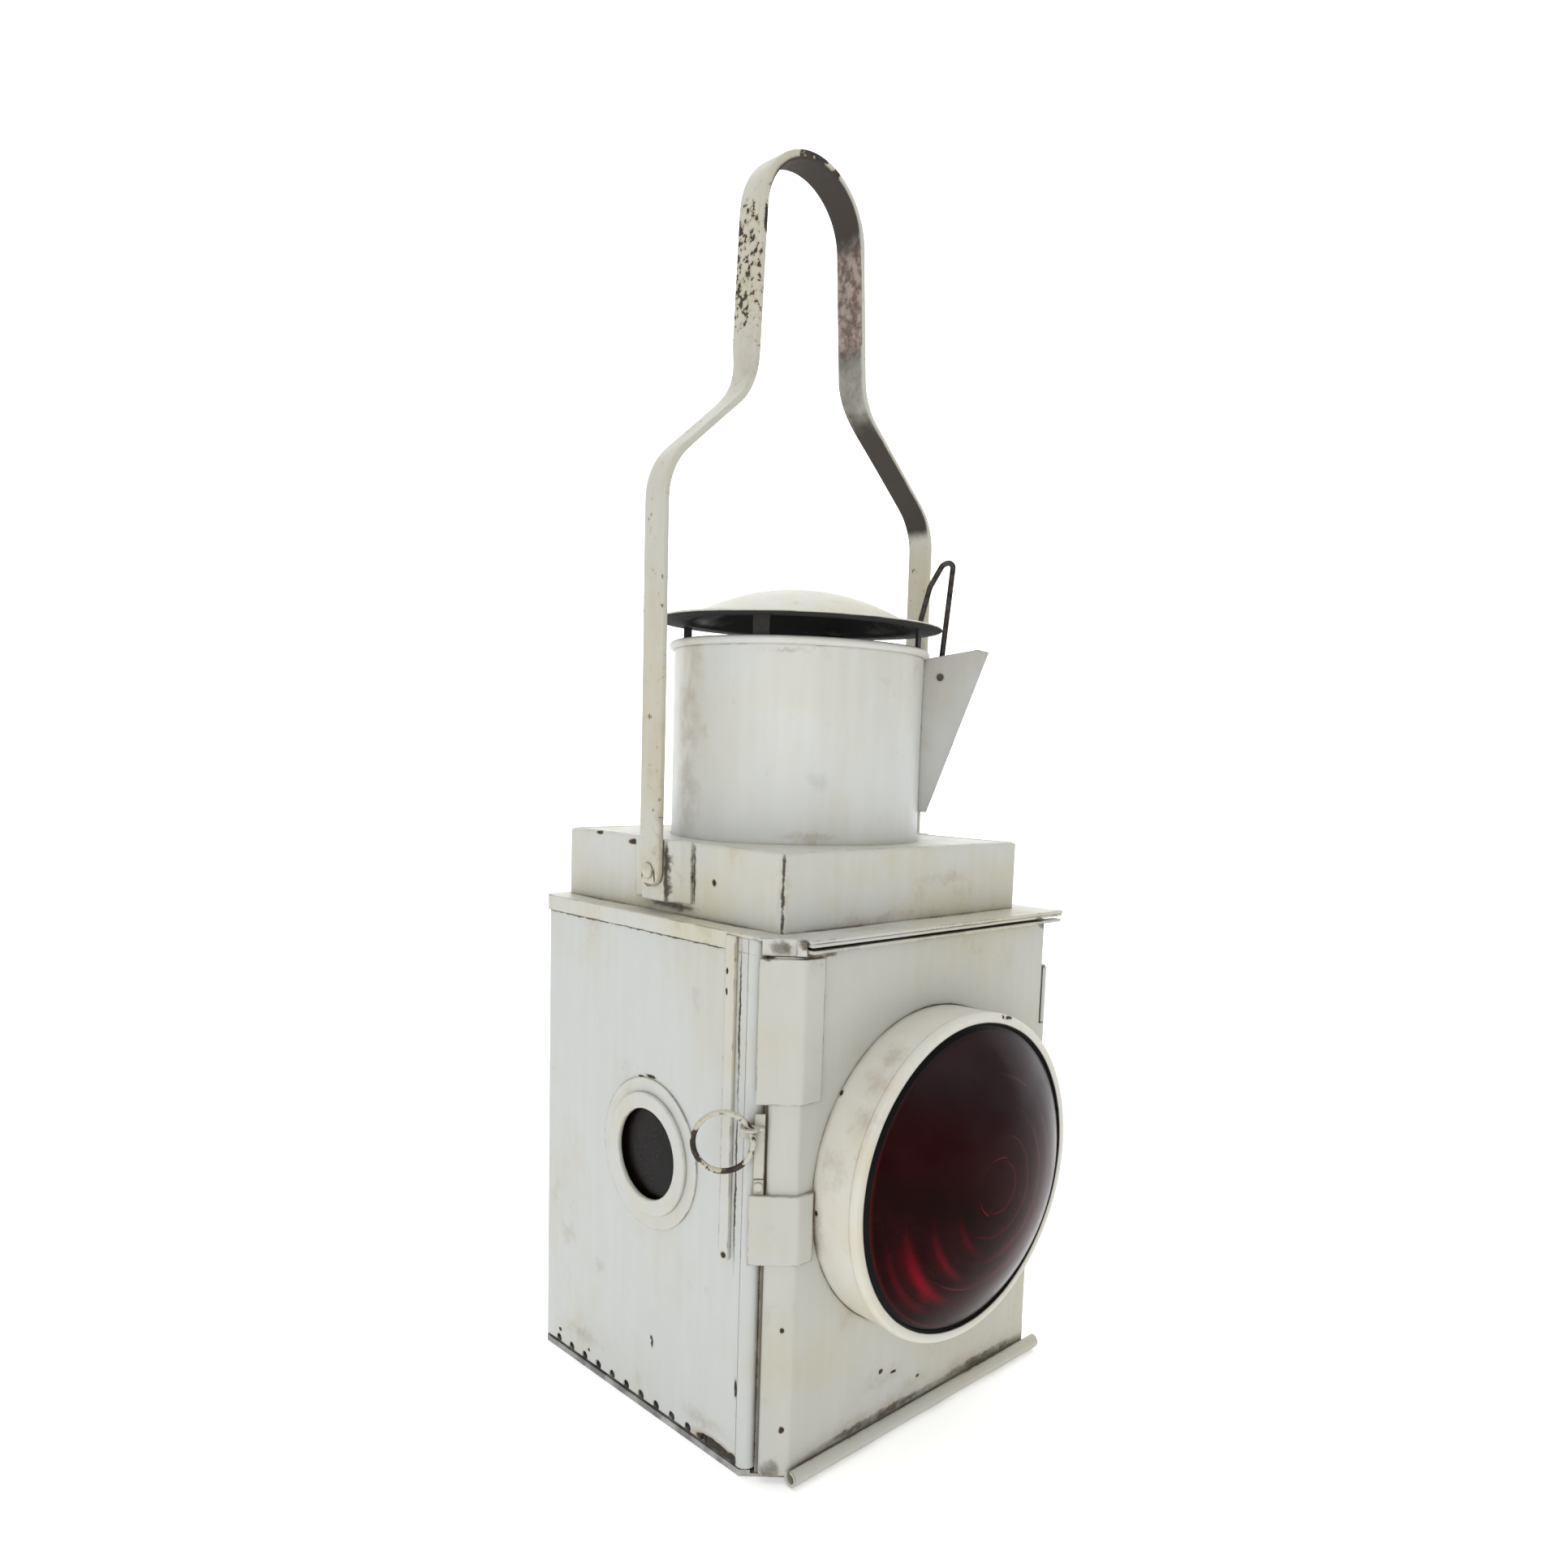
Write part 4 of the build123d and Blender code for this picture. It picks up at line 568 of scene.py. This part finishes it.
# Painted shadow lines: down the groove beside the bead, and under the roof's band
WALL_SHADOW_LINES = [(-80.3, -54.3, 172, 1.5, 0.7, 40), (-80.3, -54.3, 112, 1.5, 0.7, 40),
              (-80.3, -10, 199.2, 1.5, 60, 0.6), (-80.3, 45, 199.2, 1.5, 45, 0.6)]
DOOR_CHIPS = [(-75.6, -71.4, 192.6, 1.1, 1.1, 0.9), (-80.4, -66.6, 197.8, 1.2, 1.2, 2.4),
              (-72.9, -74.1, 60.5, 0.9, 0.9, 1.1), (-72.3, -74.7, 21.9, 0.9, 0.9, 1.4),
              (-20.6, -77, 26.3, 1.2, 1, 1.0), (-13, -77, 23.4, 1.8, 1, 0.6),
              (-59, -77, 122.8, 0.8, 1, 1.4), (2.4, -77, 15.8, 1.0, 1, 0.7)]
DOOR_STAINS = [(-20, -77, 24, 14, 3, 6), (2, -77, 14, 13, 3, 4), (-58, -77, 6, 12, 3, 4),
               (70, -77, 6, 14, 3, 4), (-66, -77, 198, 5, 3, 6), (-52, -77, 110, 4, 3, 22),
               (-40, -77, 55, 8, 3, 10), (-25, -77, 10, 45, 3, 5), (42, -77, 10, 38, 3, 6)]
# Grimy marks, with painted shade under the roof's lip and above the curl at the foot
DOOR_GRIME_AND_SHADE = [(-68, -76, 199.5, 3.5, 3, 3), (-79, -68, 199, 3, 3, 2.4), (-75, -72, 6, 5, 5, 5),
              (76, -77, 199.5, 5, 3, 2.2), (-58, -77, 199.5, 5, 2, 1.4),
              (-20, -77.4, 8.2, 45, 3, 2.0), (45, -77.4, 8.2, 38, 3, 2.6)]
ROOF_STAINS = [(-74, -71, 202, 9, 9, 5), (-70, -66, 206, 12, 12, 4), (-30, -72, 206, 30, 7, 3),
               (-77, 20, 206, 5, 40, 3)]
ROOF_GRIME = [(-76, -71, 202.5, 4.5, 4.5, 3.4), (-70, -77, 204, 3.0, 3.0, 2.4),
              (-81, -63, 203, 2, 4, 3), (78, -81, 203.5, 5, 3, 1.6), (66, -81, 203.3, 3, 3, 1.2),
              (-40, -65, 206, 30, 2.2, 1.5), (25, -65, 206, 30, 2.2, 1.5),
              (-70.5, -30, 206, 2, 28, 1.5), (-70.5, 45, 206, 2, 25, 1.5)]
BOX_CHIPS = [(-70, -25.6, 220.8, 1.5, 1.1, 1.4), (-70, 27.9, 232.5, 1.5, 3.2, 1.2),
             (-70, 52.4, 234.8, 1.5, 2.4, 0.9), (-70, 14, 211, 1.5, 1, 1)]
BOX_STAINS = [(-70, -64, 222, 4, 4, 14), (-70, 10, 208, 3, 30, 3), (-10, -64.5, 208, 50, 3, 3),
              (20, -64.5, 222, 20, 3, 3)]
# Painted shade on the slope of the handle's plate, beside its front edge, under it and under the
# rivet
BOX_SHADE = [(-73.5, -2.2, 222, 2.5, 1.5, 17), (-71, 0, 208.8, 3, 20, 2.4),
             (-70, -13.4, 222, 1.2, 0.9, 15), (-75.2, 5.5, 219, 1.2, 5.5, 1.2)]
# A dark seam down the box's near corner, and painted shadow lines round the handle's plate
BOX_SEAMS_AND_SHADOWS = [(-69.6, -64.1, 229, 0.9, 0.9, 8), (-69.5, -64.0, 219, 0.8, 0.8, 8),
             (-69.6, -64.1, 209, 1.0, 1.0, 7), (-74, -1.7, 226, 3, 1.7, 13),
             (-74, -1.7, 217, 3, 1.7, 10), (-71, -13.2, 227, 1.8, 0.9, 13),
             (-71, -13.2, 217, 1.8, 0.9, 10), (-70.8, 1, 209.2, 2.5, 20, 1.7)]
STRAP_CHIPS = [(-84, -66.4, 139.4, 1.6, 1.6, 1.8), (-78, -70.5, 118.6, 2, 2, 0.9),
               (-79.5, 1.5, 330, 1, 0.6, 0.9), (-79.5, 7, 366, 1, 0.6, 1.0),
               (-79.5, 7.6, 354, 1, 0.6, 1.0), (-79.5, 0.2, 262, 1, 0.6, 1.0)]
STRAP_STAINS = [(-35, 3, 428, 8, 9, 14), (-77, 0, 240, 3, 3, 30), (-78, -70, 128, 6, 6, 12)]
# These two lists: grimy marks, and a ring of painted shade round the handle's rivet
STRAP_GRIME_AND_SHADE = [(-79, 5.5, 217.2, 2, 4.5, 1.2), (-77, -71, 125, 3, 3, 5)]
STRAP_RIVET_GRIME_AND_SHADE = [(-78.8, 9.4, 222, 1.6, 0.7, 3.4), (-78.8, 1.5, 221.4, 1.6, 0.7, 3.6)]
DRUM_STAINS = [(-54, -92, 141, 6, 8, 9), (-36, -90, 160, 12, 8, 6), (-44, -91, 152, 9, 9, 9),
               (-60, -85, 122, 5, 8, 12), (-62, -80, 98, 4, 3, 12)]
DRUM_CHIPS = [(-61.5, -79, 104, 2, 0.9, 1.2), (23, -100.3, 169.2, 3.2, 2, 0.8),
              (18.5, -100.3, 170, 0.8, 2, 0.9), (-50, -77.6, 147, 1.5, 0.8, 1.5)]
# Brown marks on the chimney, among them a painted shade down its left side
PIPE_STAINS_AND_SHADE = [(-36, -38, 238, 20, 12, 3), (-53, 14, 258, 8, 13, 40), (-53, 14, 292, 8, 13, 36),
               (-40, -32, 311.5, 14, 24, 1.6), (-55, 16, 275, 5, 12, 55)]
# Painted shade on the pocket where it meets the chimney
POCKET_SHADE = [(39.6, -34, 262, 5, 5, 24), (39.6, -34, 280, 5, 5, 18)]


# Finishes

WHITE = (0.545, 0.55, 0.52)
CREAM = (0.53, 0.505, 0.39)

roof_paint = aged_paint("roof_paint", WHITE, CREAM, stains_and_shade=ROOF_STAINS, grime_and_shade=ROOF_GRIME,
                        hollow_body=True)
box_paint = aged_paint("box_paint", WHITE, CREAM, BOX_CHIPS, BOX_STAINS, BOX_SHADE, BOX_SEAMS_AND_SHADOWS)
pipe_paint = aged_paint("pipe_paint", (0.60, 0.61, 0.585), (0.58, 0.57, 0.50),
                        stains_and_shade=PIPE_STAINS_AND_SHADE, creases=0.6)
side_paint = aged_paint("side_paint", (0.53, 0.545, 0.525), (0.51, 0.505, 0.445), WALL_CHIPS,
                        WALL_STAINS, seams_and_shadows=WALL_SHADOW_LINES, hollow_body=True)
strip_paint = aged_paint("strip_paint", WHITE, CREAM, STRIP_CHIPS, grime_and_shade=STRIP_GRIME)
# A dark brown copy of the white paint: painted shade in the groove beside the corner bead
shaded_groove_paint = aged_paint("shaded_groove_paint", (0.21, 0.20, 0.17), (0.17, 0.15, 0.11))
# The pocket's white is painted darker than the rest: painted shade
shaded_pocket_paint = aged_paint("shaded_pocket_paint", (0.42, 0.42, 0.40), (0.36, 0.33, 0.26),
                          stains_and_shade=POCKET_SHADE)
front_paint = aged_paint("front_paint", (0.50, 0.50, 0.455), (0.49, 0.47, 0.37), DOOR_CHIPS,
                         DOOR_STAINS, DOOR_GRIME_AND_SHADE, hollow_body=True)
rim_paint = aged_paint("rim_paint", (0.645, 0.63, 0.56), (0.62, 0.575, 0.44), DRUM_CHIPS,
                       DRUM_STAINS)
dome_paint = aged_paint("dome_paint", (0.67, 0.67, 0.60), (0.64, 0.62, 0.50))
strap_paint = aged_paint("strap_paint", (0.51, 0.505, 0.44), (0.49, 0.455, 0.34), STRAP_CHIPS,
                         STRAP_STAINS, STRAP_GRIME_AND_SHADE, STRAP_RIVET_GRIME_AND_SHADE, soot_and_shade_colour=(0.045, 0.037, 0.031))

dark_steel = bare_metal("dark_steel", (0.012, 0.010, 0.009), (0.07, 0.055, 0.045),
                        roughness=0.5, metallic=0.5, scale=240)
# Black for the draught cone and the cap's legs: a deposit, and painted shade under the cap
soot_and_shade = bare_metal("soot_and_shade", (0.010, 0.010, 0.010), (0.035, 0.031, 0.028),
                  roughness=0.75, metallic=0.0)
steel = bare_metal("worn_steel", (0.10, 0.09, 0.08), (0.36, 0.34, 0.31),
                   roughness=0.42, metallic=0.9)
tray_steel = bare_metal("tray_steel", (0.16, 0.155, 0.15), (0.46, 0.455, 0.44),
                        roughness=0.48, metallic=0.55, scale=70)
tin = bare_metal("dull_tin", (0.34, 0.34, 0.33), (0.55, 0.55, 0.54),
                 roughness=0.45, metallic=0.9, scale=60)
brass = bare_metal("dull_brass", (0.30, 0.19, 0.07), (0.58, 0.41, 0.18),
                   roughness=0.38, metallic=0.95, scale=90)
rubber = bare_metal("perished_rubber", (0.015, 0.015, 0.015), (0.04, 0.038, 0.036),
                    roughness=0.8, metallic=0.0)

# The red glass's mauve film tone also paints the lens's reflection
red_glass = coloured_glass("red_glass", (0.20, 0.002, 0.006), (0.095, 0.056, 0.062),
                           film=0.22, roughness=0.14, index=1.13)
clear_glass = coloured_glass("sooty_window_glass", (0.06, 0.035, 0.025), (0.034, 0.014, 0.007),
                             film=0.5, roughness=0.22, index=1.20)
cotton = plaited_cotton("plaited_cotton")

FINISHES = {
    "base_tray": tray_steel, "case_wall": side_paint, "side_strip": strip_paint,
    "corner_stop": shaded_groove_paint, "roof_plate": roof_paint, "clip_pocket": shaded_pocket_paint,
    "pivot_rivet_left": strap_paint, "pivot_rivet_right": strap_paint,
    "window_flange": strip_paint, "window_ring": strip_paint, "lamp_iron_socket": side_paint,
    "hinge_knuckles": front_paint, "door_panel": front_paint, "latch_bracket_upper": front_paint,
    "latch_bracket_lower": front_paint, "latch_leaf_root": strap_paint,
    "leaf_rivet": strap_paint, "latch_leaf": strap_paint, "draught_cone": soot_and_shade,
    "cap_legs": soot_and_shade, "cap_clip": dark_steel, "hinge_rod": steel, "window_keeper": steel,
    "lens_keeper": steel, "font_rails": steel, "reservoir": tin, "filler_cap": brass,
    "burner": brass, "wick_tube": brass, "winder": brass, "winder_knob": brass,
    "window_glass": clear_glass, "lens_gasket": rubber, "wick": cotton,
}
for node_name, finish in FINISHES.items():
    mesh = nodes[node_name].data
    mesh.materials.clear()
    mesh.materials.append(finish)


# Chimney, cap, upper box and roof

def chimney():
    """A pipe with a rolled rim: a closed profile turned about the upright axis, each point then
    moved away from the axis by a swell less the depth of two dents."""
    bore, foot, lip = 53.0, 233.8, 313.3
    outer = [(PIPE_RADIUS, z) for z in np.linspace(foot, lip, 60)]
    roll = arc((54.6, 314.9), 1.7, -1.9, 3.2, 18)
    inner = [(bore, z) for z in np.linspace(lip, foot, 30)]
    rings = turned(outer + roll + inner, 160, TOWER, (0, 0, 1))
    push = swell(rings, 0.14, 70, 4)
    push = push - dent(rings, (-35, -39, 296), 4.5, 0.28) - dent(rings, (-30, -36, 262), 10, 0.25)
    rings = rings + away(rings, TOWER, 2) * push[..., None]

    def soot_and_shade_mark(points):
        """Black inside the bore, a deposit and painted shade, and thinly over the rim."""
        radius = np.hypot(points[:, 0], points[:, 1] - TOWER_Y)
        inside = np.clip((53.8 - radius) / 0.5, 0, 1)
        top = np.clip((points[:, 2] - 315.2) / 2.0, 0, 1) * 0.7
        return np.maximum(inside * 1.2, top)

    skin("chimney_pipe", rings, True, pipe_paint, "case", ["chimney"],
         marks={"soot_and_shade": soot_and_shade_mark})


def cap():
    """A dome on a flat brim, height = rise - ball + sqrt(ball^2 - radius^2), and the same profile
    one sheet lower, turned about the upright axis; then each point is lifted by a swell and by a
    slope times its distance behind and beside the axis, which tips the front down."""
    brim, brim_top, sheet = 61.5, 326.6, 1.2
    bowl, rise = 50.0, 14.0
    ball = (bowl ** 2 + rise ** 2) / (2 * rise)
    slope_x, slope_y = 0.010, 0.013

    def dome(r):
        return rise - ball + np.sqrt(np.maximum(ball ** 2 - r ** 2, 0))

    above = [(r, brim_top + dome(r)) for r in np.linspace(0.4, bowl, 50)]
    below = [(r, z - sheet) for r, z in reversed(above)]
    flat = [(r, brim_top) for r in np.linspace(52, 60, 9)]
    edge = [(brim - 0.3, brim_top + 0.1), (brim, brim_top - 0.3), (brim, brim_top - 0.9)]
    flat_below = [(r, brim_top - sheet) for r in np.linspace(61, 52, 8)]
    rings = turned(above + flat + edge + flat_below + below, 144, TOWER, (0, 0, 1))
    rings[..., 2] += swell(rings, 0.22, 60, 9) * np.clip((rings[..., 2] - 325) / 2, 0, 1)
    rings[..., 2] += rings[..., 0] * slope_x + (rings[..., 1] - TOWER_Y) * slope_y

    def soot_and_shade_mark(points):
        """Black underneath, a deposit and painted shade, where the levelled height is below the
        middle of the sheet.
        """
        level = points[:, 2] - points[:, 0] * slope_x - (points[:, 1] - TOWER_Y) * slope_y
        radius = np.hypot(points[:, 0], points[:, 1] - TOWER_Y)
        middle = np.where(radius < bowl, brim_top - 1.0 + dome(radius), brim_top - 0.6)
        return np.clip((middle - level) * 2 + 0.5, 0, 1) * 1.2

    skin("cap_dome", rings, False, dome_paint, "case", ["cap"],
         marks={"soot_and_shade": soot_and_shade_mark})


def rounded_square(half, radius):
    """The outline of a square with round corners: four arcs joined by 40 points on each side."""
    corners = [(-half, -half), (half, -half), (half, half), (-half, half)]
    arcs = softened(corners, radius, looped=True).reshape(4, -1, 2)
    part = np.linspace(0, 1, 42)[1:-1, None]
    sides = [arcs[k][-1] * (1 - part) + arcs[(k + 1) % 4][0] * part for k in range(4)]
    return np.vstack([np.vstack(pair) for pair in zip(arcs, sides)])


def upper_box():
    """A folded box: level outlines stacked up the wall, over the fold and its raised edge, then
    squares that turn into the chimney's round hole, (1 - t) square + t circle, and the same way
    back inside.  The sheet swells outwards, and its top up and down."""
    outside, inside, corner, hole = 70.0, 68.8, 2.0, PIPE_RADIUS
    foot, fold, fold_radius, top, under = 206.0, 234.2, 0.8, 235.0, 233.8
    plain = rounded_square(outside, corner)
    circle = plain / np.linalg.norm(plain, axis=1)[:, None] * hole
    rows = [(plain, z) for z in np.linspace(foot, fold, 16)]
    rows += [(rounded_square(half, corner), z)
             for half, z in arc((outside - fold_radius, fold), fold_radius, 0.2, math.pi / 2, 6)]
    rows += [(rounded_square(half, corner), z)
             for half, z in ((68.9, 235.3), (68.0, 235.25), (67.5, 234.9))]
    rows += [(rounded_square(67.4, corner) * (1 - t) + circle * t, top)
             for t in np.linspace(0.03, 1, 14)]
    inner = rounded_square(inside, 1.0)
    rows += [(inner * (1 - t) + circle * t, under) for t in np.linspace(1, 0, 6)]
    rows += [(inner, z) for z in np.linspace(233.0, foot, 8)]
    rings = np.array([np.c_[plan, np.full(len(plan), z)] for plan, z in rows])
    rings[..., 1] += TOWER_Y
    outwards = (rings - np.array((0, TOWER_Y, 220))) / 80
    push = swell(rings, 0.22, 110, 12)[..., None] * outwards
    push[..., 2] = swell(rings, 0.25, 80, 13) * np.clip((rings[..., 2] - 230) / 4, 0, 1)
    skin("upper_box_sheet", rings + push, True, box_paint, "case", ["upper_box"])


def bent_strip(name, path, bottom, top, gauge, material, stands_for=()):
    """A strip on edge: its section, as high as bottom to top, is carried along a path seen from
    above, across the path's normal."""
    path = finely(path, 0.9)
    side = beside(path)
    section = flat_section(top - bottom, gauge, 0.35)
    across = section[:, 0]
    rings = grid(path[:, 0, None] + side[:, 0, None] * across,
                 path[:, 1, None] + side[:, 1, None] * across,
                 (bottom + top) / 2 + section[:, 1])
    skin(name, rings, False, material, "case", stands_for)


def roof_hem():
    """The roof's front edge folded under: a flat section carried straight along x."""
    along = np.linspace(-69.8, 83.1, 90)[:, None]
    section = flat_section(3.4, 1.5, 0.7)
    rings = grid(along, -79.75 + section[:, 1], 204.1 + section[:, 0])
    rings[..., 2] += swell(rings, 0.06, 40, 17)
    skin("roof_hem", rings, False, roof_paint, "case")


def roof_corner():
    """The end of the roof's corner fold, turned into the front: a strip along a bent line."""
    path = [(-72.4, -75.4), (-70.2, -77.6), (-69.7, -77.7)]
    bent_strip("roof_corner", path, 199.9, 205.2, 0.9, roof_paint)


def pivot_hat(which, side):
    """The plate that carries a handle arm: a strip along a line that is flat on the box, slopes
    out to a crown, and slopes back."""
    flat, crown = side * 70.6, side * 74.6
    path = [(flat, -12.4), (flat, -5.2), (crown, -2.2), (crown, 14.0), (flat, 17.0), (flat, 24.0)]
    bent_strip("pivot_hat_" + which, softened(path, 1.6), 211.0, 235.4, 1.2, box_paint,
               ["pivot_bracket_" + which])


chimney()
cap()
upper_box()
roof_hem()
roof_corner()
pivot_hat("left", -1)
pivot_hat("right", 1)


# Handle and ring pull

def handle_marks(x, height, gauge, width):
    """Wear, rust and black marks on the handle, the black a deposit and painted shade under the
    arch and on the right arm's inner face: bell curves and ramps of the height, on the faces that
    gauge and width, the place across the section, tell apart."""
    left = x < -3.7
    inner = np.clip(gauge / 1.4, 0, 1)
    outer = np.clip(-gauge / 1.4, 0, 1)
    front = np.clip(-width / 5, 0, 1)
    back = np.clip(width / 5, 0, 1)
    neck = bell(height, 464, 28, 4) * left
    crown = bell(x, -6, 8, 4) + bell(x, 7, 2)
    wear = 0.30 + neck * (0.135 * (1 - inner) + 0.05 * outer * back)
    wear = wear + 0.45 * bell(height, 481, 5, 4) * left * front * (gauge > 0)
    wear = wear + 0.04 * bell(height, 440, 16) * left * (1 - outer)
    wear = wear + 0.30 * crown * np.clip((height - 500) / 6, 0, 1) * front
    rust = 1.1 * bell(height, 468, 24, 4) * ~left * inner
    # Black under the arch and on the right arm's inner face: a deposit, and painted shade
    arch = 1.15 * np.clip((height - 482) / 18, 0, 1) * inner
    bend = np.clip((452 - height) / 8, 0, 1) * 0.52 + np.clip((424 - height) / 12, 0, 1) * 0.40
    bend = bend * np.clip((height - 372) / 8, 0, 1) * ~left * inner
    return {"wear": wear, "rust": rust, "soot_and_shade": arch + bend + 0.2 * rust}


def strap_handle():
    """A flat section carried along the handle's line: straight arms, softened bends, a neck and
    an arch that is half an ellipse.  The width follows a half circle at each foot, and width and
    gauge grow up to the neck."""
    arm, foot, spring, step, round_end = 77.0, 216.65, 486, 1.6, 6.35
    left = softened([(-arm, foot), (-arm, 378.5), (-34.3, 417), (-31.6, spring)], 28)
    angle = np.linspace(math.pi, 0, 40)[1:-1]
    arch = np.stack([-3.8 + 27.8 * np.cos(angle), spring + 27.7 * np.sin(angle)], 1)
    right = softened([(24.0, spring), (28.2, 423.5), (arm, 380), (arm, foot)], 26)
    path = finely(np.vstack([left, arch, right]), step)
    side = beside(path)
    x, height = path[:, 0, None], path[:, 1, None]
    neck = np.clip((height - 418) / 16, 0, 1)
    run = np.arange(len(path))[:, None] * step
    from_end = np.clip(np.minimum(run, run[::-1]) / round_end, 0, 1)
    narrow = np.sqrt(np.clip(1 - (1 - from_end) ** 2, 0.002, 1))
    section = flat_section(12.7, 3.0, 1.0)
    gauge = section[None, :, 0]
    width = section[None, :, 1] * narrow * (1 + 0.14 * neck)
    across = gauge * (1 + 0.28 * neck - 0.15 * bell(height, 397, 14, 4))
    sway = swell(np.insert(path, 1, 0, axis=1), 0.25, 120, 21)[:, None]
    rings = grid(x + side[:, 0, None] * across,
                 TOWER_Y + width + sway * 0.6 + 0.9 * neck,
                 height + side[:, 1, None] * across)
    marks = handle_marks(x, height + 0 * gauge, gauge, width)
    skin("strap_handle", rings, False, strap_paint, "handle", ["handle"],
         marks=marks)


def ring_pull():
    """A wire ring in the upright plane of the canted corner: a small circle carried round a large
    one, centre + (ring + wire cos b) spoke(a) + wire sin b inward."""
    ring, wire = 10.8, 1.05
    along = np.array((1, -1, 0)) / math.sqrt(2)
    inward = np.array((1, 1, 0)) / math.sqrt(2)
    up = np.array((0, 0, 1))
    eye = np.array((-70.0, DOOR_FACE, 137.2)) + along * -17.55 + inward * -2.6
    centre = eye + along * -9.62 + up * -4.9
    a = np.linspace(0, 2 * np.pi, 96, endpoint=False)
    b = np.linspace(0, 2 * np.pi, 18, endpoint=False)
    spoke = np.cos(a)[:, None] * along + np.sin(a)[:, None] * up
    rings = (centre + spoke[:, None] * (ring + wire * np.cos(b)[None, :, None])
             + inward * (wire * np.sin(b)[None, :, None]))

    def wear(points):
        """Bare where the ring is held: at its far side and near its foot."""
        held = [(*(centre + along * -9), 7), (*(centre + along * 5 + up * -9), 6)]
        return 0.43 + 0.30 * np.clip(near(points, held), 0, 1)

    skin("ring_pull_wire", rings, True, strap_paint, "ring", ["ring_pull"],
         marks={"wear": wear})


strap_handle()
ring_pull()


# Lens and its drum

def across_lens(points):
    """Sideways and upward distance from the lens's axis."""
    return points[:, 0] - LENS_X, points[:, 2] - LENS_Z


def bulls_eye():
    """A dome outside, height = rise - ball + sqrt(ball^2 - radius^2), and stepped rings inside:
    each step drops, then follows the dome less steeply.  Both are one profile turned about the
    lens's axis."""
    dome_radius, rise, flange = 60.6, 20.0, 63.4
    ball = (dome_radius ** 2 + rise ** 2) / (2 * rise)
    steps = 5
    pitch = dome_radius / (steps + 1)
    crescents = ((47, 2.2, 1.0), (54, 1.4, 0.5), (37, 1.7, 0.7), (26, 1.3, 0.5))

    def dome(r):
        return rise - ball + math.sqrt(ball ** 2 - r ** 2)

    front = [(r, dome(r)) for r in np.linspace(0.3, dome_radius, 70)]
    edge = [(flange, 0.0), (flange, -4.0)]
    inner = [(57.6, -4.0)]
    for k in range(steps, 0, -1):
        r = k * pitch
        inner += [(r + 0.8, dome(r) - 6.6), (r, dome(r) - 6.4), (r - 0.6, dome(r) - 5.6),
                  (r - 1.3, dome(r) - 5.3)]
        inner += [(q, dome(r) - 5.3 + (dome(q) - dome(r)) * 0.55)
                  for q in np.linspace(r - 2.5, r - pitch + 1.5, 4)]
    inner.append((0.3, 13.0))
    rings = turned(front + edge + inner, 144, (LENS_X, DOOR_FACE - 21.6, LENS_Z), (0, -1, 0))

    def film_and_reflection(points):
        """A dirty film, and a painted reflection, towards the rim on the right and from the middle
        upwards.
        """
        x, z = across_lens(points)
        rim = np.clip((np.hypot(x, z) / 60 - 0.35) / 0.5, 0, 1)
        rim = rim * np.clip(0.36 + 0.6 * x / 60, 0.05, 1)
        upper = 1.15 * np.clip(0.17 + 0.9 * z / 60 + 0.3 * x / 60, 0, 1)
        return np.maximum(rim, upper) + 0.05

    def glint(points):
        """Four crescents of painted red glint, low on the left: bell curves of radius and angle.
        """
        x, z = across_lens(points)
        radius, angle = np.hypot(x, z), np.arctan2(z, x)
        return bell(angle, -2.5, 0.42) * sum(strength * bell(radius, middle, width)
                                             for middle, width, strength in crescents)

    def black_edge(points):
        """The black putty between glass and drum, with painted shade in the gap there."""
        return np.clip((np.hypot(*across_lens(points)) - 57.9) / 0.5, 0, 1)

    skin("bulls_eye", rings, False, red_glass, "door", ["lens_glass"],
         sharp=25, marks={"film_and_reflection": film_and_reflection, "soot_and_shade": black_edge, "glint": glint})


def lens_drum():
    """A soldered drum with a bead and a turned-in lip: a closed profile turned about the lens's
    axis, a little out of round by a swell away from the axis."""
    wall, bore = 64.8, 63.8
    outer = [(wall, h) for h in np.linspace(0.0, 20.0, 17)]
    bead = [(65.3, 20.3), (65.4, 21.0), (65.3, 22.1)]
    shoulder = [(65.2 - 1.7 * (1 - math.cos(a)), 22.3 + 1.5 * math.sin(a))
                for a in np.linspace(0.2, math.pi / 2, 7)]
    lip = [(62.6, 23.9), (61.8, 23.8), (61.1, 23.4), (61.0, 23.0), (61.4, 22.6), (bore, 22.5)]
    inner = [(bore, h) for h in np.linspace(21.0, 0.0, 10)]
    profile = outer + bead + shoulder + lip + inner
    rings = turned(profile, 180, (LENS_X, DOOR_FACE + 1.2, LENS_Z), (0, -1, 0))
    out_of_round = swell(rings, 0.13, 50, 31)[..., None]
    rings = rings + away(rings, (LENS_X, 0, LENS_Z), 1) * out_of_round

    def soot_and_shade_mark(points):
        """Black round the lens, within the lip: a deposit, and painted shade."""
        radius = np.hypot(*across_lens(points))
        behind_lip = np.clip((points[:, 1] + 99.6) / 0.5, 0, 1)
        return np.clip((64.4 - radius) / 0.4, 0, 1) * behind_lip * 1.2

    skin("lens_drum", rings, True, rim_paint, "door", ["lens_rim"],
         marks={"soot_and_shade": soot_and_shade_mark})


bulls_eye()
lens_drum()
